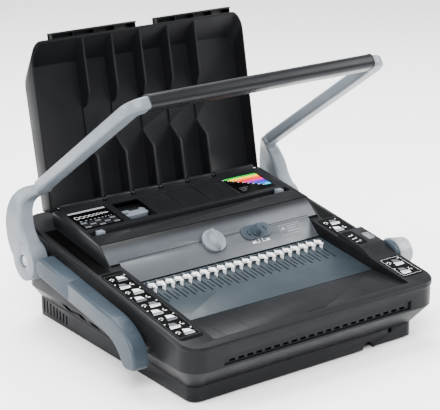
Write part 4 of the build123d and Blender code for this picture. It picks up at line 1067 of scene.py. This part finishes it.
@dataclass
class Handle:
    """Two arms, the grip bar with its end rings, and the drive train."""

    frame: dict

    def build(self) -> list[bpy.types.Object]:
        """Makes the handle."""
        made = [
            rounded_copy(self.frame, "handle_arm_left", "handle", PALE_ABS, 0.5),
            rounded_copy(self.frame, "handle_arm_right", "handle", PALE_ABS, 0.5),
            rounded_copy(self.frame, "grip_bar", "handle", BAR_ANODISED, 0.0),
        ]
        dress(self.frame, BLACK_TPE, "grip_rings")
        dress(self.frame, TOOL_STEEL, "handle_shaft", "drive_gears", "arm_screws")
        dress(self.frame, TOOL_STEEL, "punch_bar", "punch_pins", "punch_racks")
        dress(self.frame, TOOL_STEEL, "closer_rods", "closer_bar")
        return made


@dataclass
class Lever:
    """Comb lever with its grip cap and its shaft."""

    frame: dict

    def build(self) -> list[bpy.types.Object]:
        """Makes the lever."""
        dress(self.frame, TOOL_STEEL, "lever_shaft", "lever_pinion")
        return [
            rounded_copy(self.frame, "comb_lever_arm", "comb_lever", SLATE_ABS, 0.3),
            rounded_copy(self.frame, "lever_grip_cap", "comb_lever", SLATE_ABS, 0.3),
        ]


@dataclass
class Tray:
    """Tray with the paper trough, guides, gauge tool and its two labels."""

    frame: dict
    ring_count: int = 9

    def build(self) -> list[bpy.types.Object]:
        """Makes the tray and what lies in it."""
        made = [
            rounded_copy(self.frame, "tray_housing", "housing", CHARCOAL_ABS, 0.4),
            rounded_copy(self.frame, "left_edge_guide", "left_guide", PALE_ABS, 0.3),
            rounded_copy(self.frame, "right_edge_guide", "right_guide", PALE_ABS, 0.3),
            rounded_copy(self.frame, "gauge_tool", "gauge_tool", PALE_ABS, 0.4),
            self.comb_sizes(),
            self.size_chart(),
        ]
        dress(self.frame, LABEL_BLACK, "tray_label_left", "tray_label_right")
        return made

    def comb_sizes(self) -> bpy.types.Object:
        """Left label: a row of comb rings that shrink, above a pale strip."""
        slope = Slope.on_plate("tray_label_left", TRAY_LABEL_MM)
        sheet = Print("comb_size_print", slope)
        sheet.bar(2, 62, 49, 53.5, INK_GREY)
        u = 4.0
        for i in range(self.ring_count):
            radius = 3.9 - 0.28 * i
            u += radius
            sheet.ring(u, 36, radius, radius - 0.55, INK_WHITE)
            sheet.bar(u - radius * 0.5, u + radius * 0.5, 24, 25.2, INK_GREY)
            u += radius + 0.6
        for row in range(3):
            for column in range(5):
                u0 = 4 + 11.6 * column
                v0 = 4 + 6.2 * row
                sheet.bar(u0, u0 + 9.6, v0, v0 + 4.2, INK_DARK if (row + column) % 2 else INK_MID)
        return sheet.build("housing")

    def size_chart(self) -> bpy.types.Object:
        """Right label: stepped rainbow bars that fill a triangle."""
        slope = Slope.on_plate("tray_label_right", TRAY_LABEL_MM)
        sheet = Print("size_chart_print", slope)
        deep = 42 / len(RAINBOW)
        for i, ink in enumerate(RAINBOW):
            v1 = 52.5 - deep * i
            sheet.bar(3 + 6.0 * i, 61.5, v1 - deep, v1, ink)
            sheet.bar(3 + 6.0 * i - 3.4, 3 + 6.0 * i - 1.2, v1 - deep + 1.2, v1 - 1.8, INK_WHITE)
        for i in range(3):
            sheet.bar(6, 22 - 4 * i, 16 - 4.5 * i, 17.2 - 4.5 * i, INK_MID)
        return sheet.build("housing")


@dataclass
class RailLabels:
    """Instruction pictures on the two rails and the size window."""

    frame: dict
    picture_pitch: float = 19.4
    film_lift: float = -0.3
    print_radius: float = 19.06
    drum_steps: int = 36

    def build(self) -> list[bpy.types.Object]:
        """Makes both labels, the window and the printed drum."""
        dress(self.frame, LABEL_BLACK, "left_rail_label", "right_rail_label")
        dress(self.frame, CLEAR_WINDOW, "indicator_window")
        return [self.left_print(), self.right_print(), self.drum()]

    def picture(
        self, sheet: Print, u0: float, v0: float, wide: float, tall: float, step: int
    ) -> None:
        """One generic instruction picture: a machine, a sheet, a comb and an arrow."""

        def spot(x: float, y: float) -> Point2:
            return (u0 + wide * x, v0 + tall * y)

        flip = step % 2
        left = 0.08 if flip else 0.36
        machine = ((0.0, 0.1), (0.5, 0.1), (0.56, 0.42), (0.06, 0.5))
        paper = ((0.1, 0.46), (0.5, 0.4), (0.44, 0.78), (0.14, 0.88))
        sheet.polygon(
            [spot(left + x, y) for x, y in machine],
            (INK_GREY, INK_WHITE, INK_MID)[step % 3],
        )
        sheet.polygon(
            [spot(left + x, y) for x, y in paper],
            INK_WHITE if step % 3 != 1 else INK_MID,
            1,
        )
        for i in range(6):
            x, y = spot(left + 0.06 + 0.08 * i, 0.3 + 0.02 * (i % 2))
            sheet.ring(x, y, 1.05, 0.55, INK_DARK if step % 3 == 1 else INK_BLACK, 2)
        side = 0.82 if flip else 0.18
        x, y = spot(side, 0.55)
        sheet.ring(x, y, 3.4, 2.5, INK_WHITE, 1, 100 if flip else -20, 200)
        sheet.polygon(
            [(x - 1.4, y - 3.6), (x + 1.4, y - 2.2), (x - 1.2, y - 0.9)], INK_WHITE, 1
        )
        x, y = spot(0.06 if flip else 0.94, 0.88)
        sheet.ring(x, y, 1.1, 0.0, INK_WHITE, 1)

    def left_print(self) -> bpy.types.Object:
        """Pictures in one column along the left rail."""
        slope = Slope.on_plate("left_rail_label", RAIL_LABEL_MM)
        sheet = Print("left_rail_print", slope)
        sheet.frame(1.6, 34.4, 7, 185, 0.35, INK_MID)
        self.rear_film(sheet, 0.3)
        for i in range(9):
            self.picture(sheet, 3, 9 + self.picture_pitch * i, 30, self.picture_pitch - 1.6, i)
        return sheet.build("housing")

    def right_print(self) -> bpy.types.Object:
        """Pictures on the front and rear fields of the right rail and on its platform."""
        left = Slope.on_plate("left_rail_label", RAIL_LABEL_MM)
        low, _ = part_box("right_rail_label")
        slope = Slope(Vector((low.x, left.origin.y, left.origin.z)), left.along, left.normal)
        sheet = Print("right_rail_print", slope)
        front = 0.6
        sheet.frame(front + 1.6, front + 33.8, 3, 53, 0.35, INK_WHITE)
        for i in range(2):
            self.picture(sheet, front + 2.6, 5 + 23.5 * i, 29, 22, 3 * i + 1)
        self.rear_film(sheet, 15.7)
        rear = front + 146
        for i in range(2):
            self.picture(sheet, 3.4, rear + 3 + 20 * i, 29, 19, i + 3)
        for i in range(3):
            self.mark_on_platform(sheet, i)
        return sheet.build("housing")

    def rear_film(self, sheet: Print, u0: float) -> None:
        """Black film on the narrow rear stretch of a rail, beside the tray."""
        lift = sheet.lift
        sheet.lift = self.film_lift
        sheet.bar(u0, u0 + 20.0, 194.5, 336.0, LABEL_BLACK)
        sheet.lift = lift

    def mark_on_platform(self, sheet: Print, row: int) -> None:
        """One short mark on the raised platform, in front of the window."""
        lift = sheet.lift
        sheet.lift = lift + 6.0
        v0 = 104 + 9 * row
        sheet.bar(1.5, 6.5 + row, v0, v0 + 1.2, INK_WHITE)
        sheet.ring(10.5, v0 + 1.5, 2.0, 1.3, INK_WHITE, 0, 30, 240)
        sheet.lift = lift

    def drum(self) -> bpy.types.Object:
        """Colour wedge wrapped round the size drum, seen through the window."""
        low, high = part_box("size_drum")
        centre = (low + high) / 2
        radius = self.print_radius * MM
        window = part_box("indicator_window")[0].x
        x0, x1 = window - 0.8 * MM, window + 10.6 * MM
        inks = (INK_ORANGE, INK_YELLOW, INK_WHITE)
        work = bmesh.new()
        steps = self.drum_steps
        for i in range(steps):
            a, b = 2 * math.pi * i / steps, 2 * math.pi * (i + 1) / steps
            edge_a = x0 + (x1 - x0) * (0.25 + 0.5 * i / steps)
            edge_b = x0 + (x1 - x0) * (0.25 + 0.5 * (i + 1) / steps)
            spans = (
                ((x0, x0), (edge_a, edge_b), 0),
                ((edge_a, edge_b), (edge_a + 2.5 * MM, edge_b + 2.5 * MM), 1),
                ((edge_a + 2.5 * MM, edge_b + 2.5 * MM), (x1, x1), 2),
            )
            for (l0, l1), (r0, r1), slot in spans:
                corners = ((l0, a), (r0, a), (r1, b), (l1, b))
                rim = [
                    (x, centre.y + radius * math.cos(t), centre.z + radius * math.sin(t))
                    for x, t in corners
                ]
                work.faces.new([work.verts.new(p) for p in rim]).material_index = slot
        bmesh.ops.remove_doubles(work, verts=work.verts, dist=0.001 * MM)
        mesh = bpy.data.meshes.new("size_drum_print")
        work.to_mesh(mesh)
        work.free()
        for ink in inks:
            mesh.materials.append(ink.build())
        piece = link_mesh("size_drum_print", mesh)
        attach(piece, "size_indicator")
        dress(self.frame, KNOB_ACETAL, "size_drum")
        return piece


@dataclass
class LidAndDrawer:
    """The lid with its thin ribs, and the chip drawer at the back."""

    frame: dict
    lean: float = math.radians(10.53)
    rib_places: tuple[float, ...] = (-96.0, -48.0, 0.0, 48.0, 96.0)

    def at(self, x: float, out: float, up: float) -> Vector:
        """Point of the open lid at x across, out of its panel plane and up it, in millimetres."""
        low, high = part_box("lid_hinge_rod")
        hinge = (low + high) / 2
        foot = Vector((0, hinge.y - 0.6 * MM, hinge.z - 1.1 * MM))
        front = Vector((0, -math.cos(self.lean), math.sin(self.lean)))
        rise = Vector((0, math.sin(self.lean), math.cos(self.lean)))
        return foot + Vector((x * MM, 0, 0)) + front * out * MM + rise * up * MM

    def ribs(self) -> list[bpy.types.Object]:
        """Thin ribs that join each upper fin to the lower one."""
        made = []
        for index, x in enumerate(self.rib_places):
            rings = []
            for up, back in ((84.0, -24.4), (134.0, -25.2)):
                corners = ((-0.7, -0.4), (0.7, -0.4), (0.7, 2.2), (-0.7, 2.2))
                rings.append([self.at(x + side, back + out, up) for side, out in corners])
            piece = loft_rings(f"lid_rib_{index + 1}", rings, LID_ABS)
            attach(piece, "lid")
            made.append(piece)
        return made

    def tab_webs(self) -> list[bpy.types.Object]:
        """Small webs inside the two grip tabs."""
        made = []
        for index, (first, last, count) in enumerate(((-144.0, -6.0, 5), (32.0, 162.0, 5))):
            step = (last - first) / (count - 1)
            values = {
                "Count": count,
                "Start": self.at(first, -5.8, 239.0),
                "Step": (step * MM, 0.0, 0.0),
                "Size": (1.2 * MM, 8.4 * MM, 8.2 * MM),
                "Tilt": -self.lean,
                "Finish": LID_ABS.build(),
            }
            tree = row_tree(f"tab_web_tree_{index + 1}")
            made.append(run_tree(f"tab_webs_{index + 1}", tree, values, "lid"))
        return made

    def build(self) -> list[bpy.types.Object]:
        """Makes the lid, its ribs and the drawer."""
        made = [
            rounded_copy(self.frame, "lid", "lid", LID_ABS, 0.5),
            rounded_copy(self.frame, "chip_drawer", "chip_drawer", CHARCOAL_ABS, 0.4),
        ]
        return made + self.ribs() + self.tab_webs()


# ---- studio
@dataclass(frozen=True)
class Studio:
    """Camera, soft lights and a pale floor."""

    azimuth: float = -36.0
    elevation: float = 18.47
    roll: float = -0.26
    distance_mm: float = 2273.2
    shift_mm: Point2 = (-12.4, 172.6)
    lens_mm: float = 131.56

    def camera(self) -> None:
        """Sets the camera three-quarter from the front left, slightly above."""
        a, e = math.radians(self.azimuth), math.radians(self.elevation)
        back = Vector((math.sin(a) * math.cos(e), -math.cos(a) * math.cos(e), math.sin(e)))
        right = (-back).cross(Vector((0, 0, 1))).normalized()
        up = right.cross(-back)
        t = math.radians(self.roll)
        tilt_right = right * math.cos(t) + up * math.sin(t)
        tilt_up = up * math.cos(t) - right * math.sin(t)
        data = bpy.data.cameras.new("camera")
        data.lens = self.lens_mm
        data.sensor_width = 36.0
        data.clip_start, data.clip_end = 0.05, 50.0
        camera = bpy.data.objects.new("camera", data)
        across, up_by = self.shift_mm
        place = back * self.distance_mm + tilt_right * across + tilt_up * up_by
        turn = Matrix((tilt_right, tilt_up, back)).transposed().to_4x4()
        camera.matrix_world = Matrix.Translation(place * MM) @ turn
        bpy.context.scene.collection.objects.link(camera)
        bpy.context.scene.camera = camera

    def light(self, name: str, place: Point2, height: float, size: float, watts: float) -> None:
        """Adds a square area light that faces the machine."""
        data = bpy.data.lights.new(name, "AREA")
        data.shape = "SQUARE"
        data.size = size
        data.energy = watts
        lamp = bpy.data.objects.new(name, data)
        lamp.location = (place[0], place[1], height)
        aim = Vector((0, 0, 0.12)) - lamp.location
        lamp.rotation_euler = aim.to_track_quat("-Z", "Y").to_euler()
        bpy.context.scene.collection.objects.link(lamp)

    def floor(self) -> None:
        """Adds the pale floor with a faint mottled sheen."""
        mesh = bpy.data.meshes.new("floor")
        mesh.from_pydata([(-6, -6, 0), (6, -6, 0), (6, 6, 0), (-6, 6, 0)], [], [(0, 1, 2, 3)])
        floor = link_mesh("floor", mesh)
        paper = Finish("white_backdrop_paper", "#fdfdfd", "#fafafa", 0.8, 0.05, relief_mm=0.0)
        mesh.materials.append(paper.build())

    def build(self) -> None:
        """Sets up the camera, the lights, the sky and the floor."""
        self.camera()
        self.light("key", (-1.3, -1.3), 2.0, 1.2, 120.0)
        self.light("fill", (1.9, -0.7), 1.1, 1.4, 80.0)
        self.light("top", (0.1, 0.7), 2.2, 1.5, 130.0)
        self.light("left_strip", (-1.9, 0.8), 0.9, 0.9, 50.0)
        world = bpy.data.worlds.new("studio_sky")
        world.use_nodes = True
        background = world.node_tree.nodes["Background"]
        background.inputs["Color"].default_value = linear("#f3f6f9")
        background.inputs["Strength"].default_value = 1.1
        bpy.context.scene.world = world
        self.floor()


def main() -> None:
    """Builds the machine's looks in order and reports every piece."""
    logging.basicConfig(level=logging.INFO, format="%(name)s: %(message)s")
    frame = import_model()
    builders: list[Callable[[], list[bpy.types.Object]]] = [
        Housing(frame).build,
        BindingDeck(frame).build,
        Controls(frame).build,
        Handle(frame).build,
        Lever(frame).build,
        Tray(frame).build,
        RailLabels(frame).build,
        LidAndDrawer(frame).build,
    ]
    for build in builders:
        for piece in build():
            log.info("%s, %d faces", piece.name, len(piece.data.polygons))
    Studio().build()


if __name__ == "__main__":
    main()
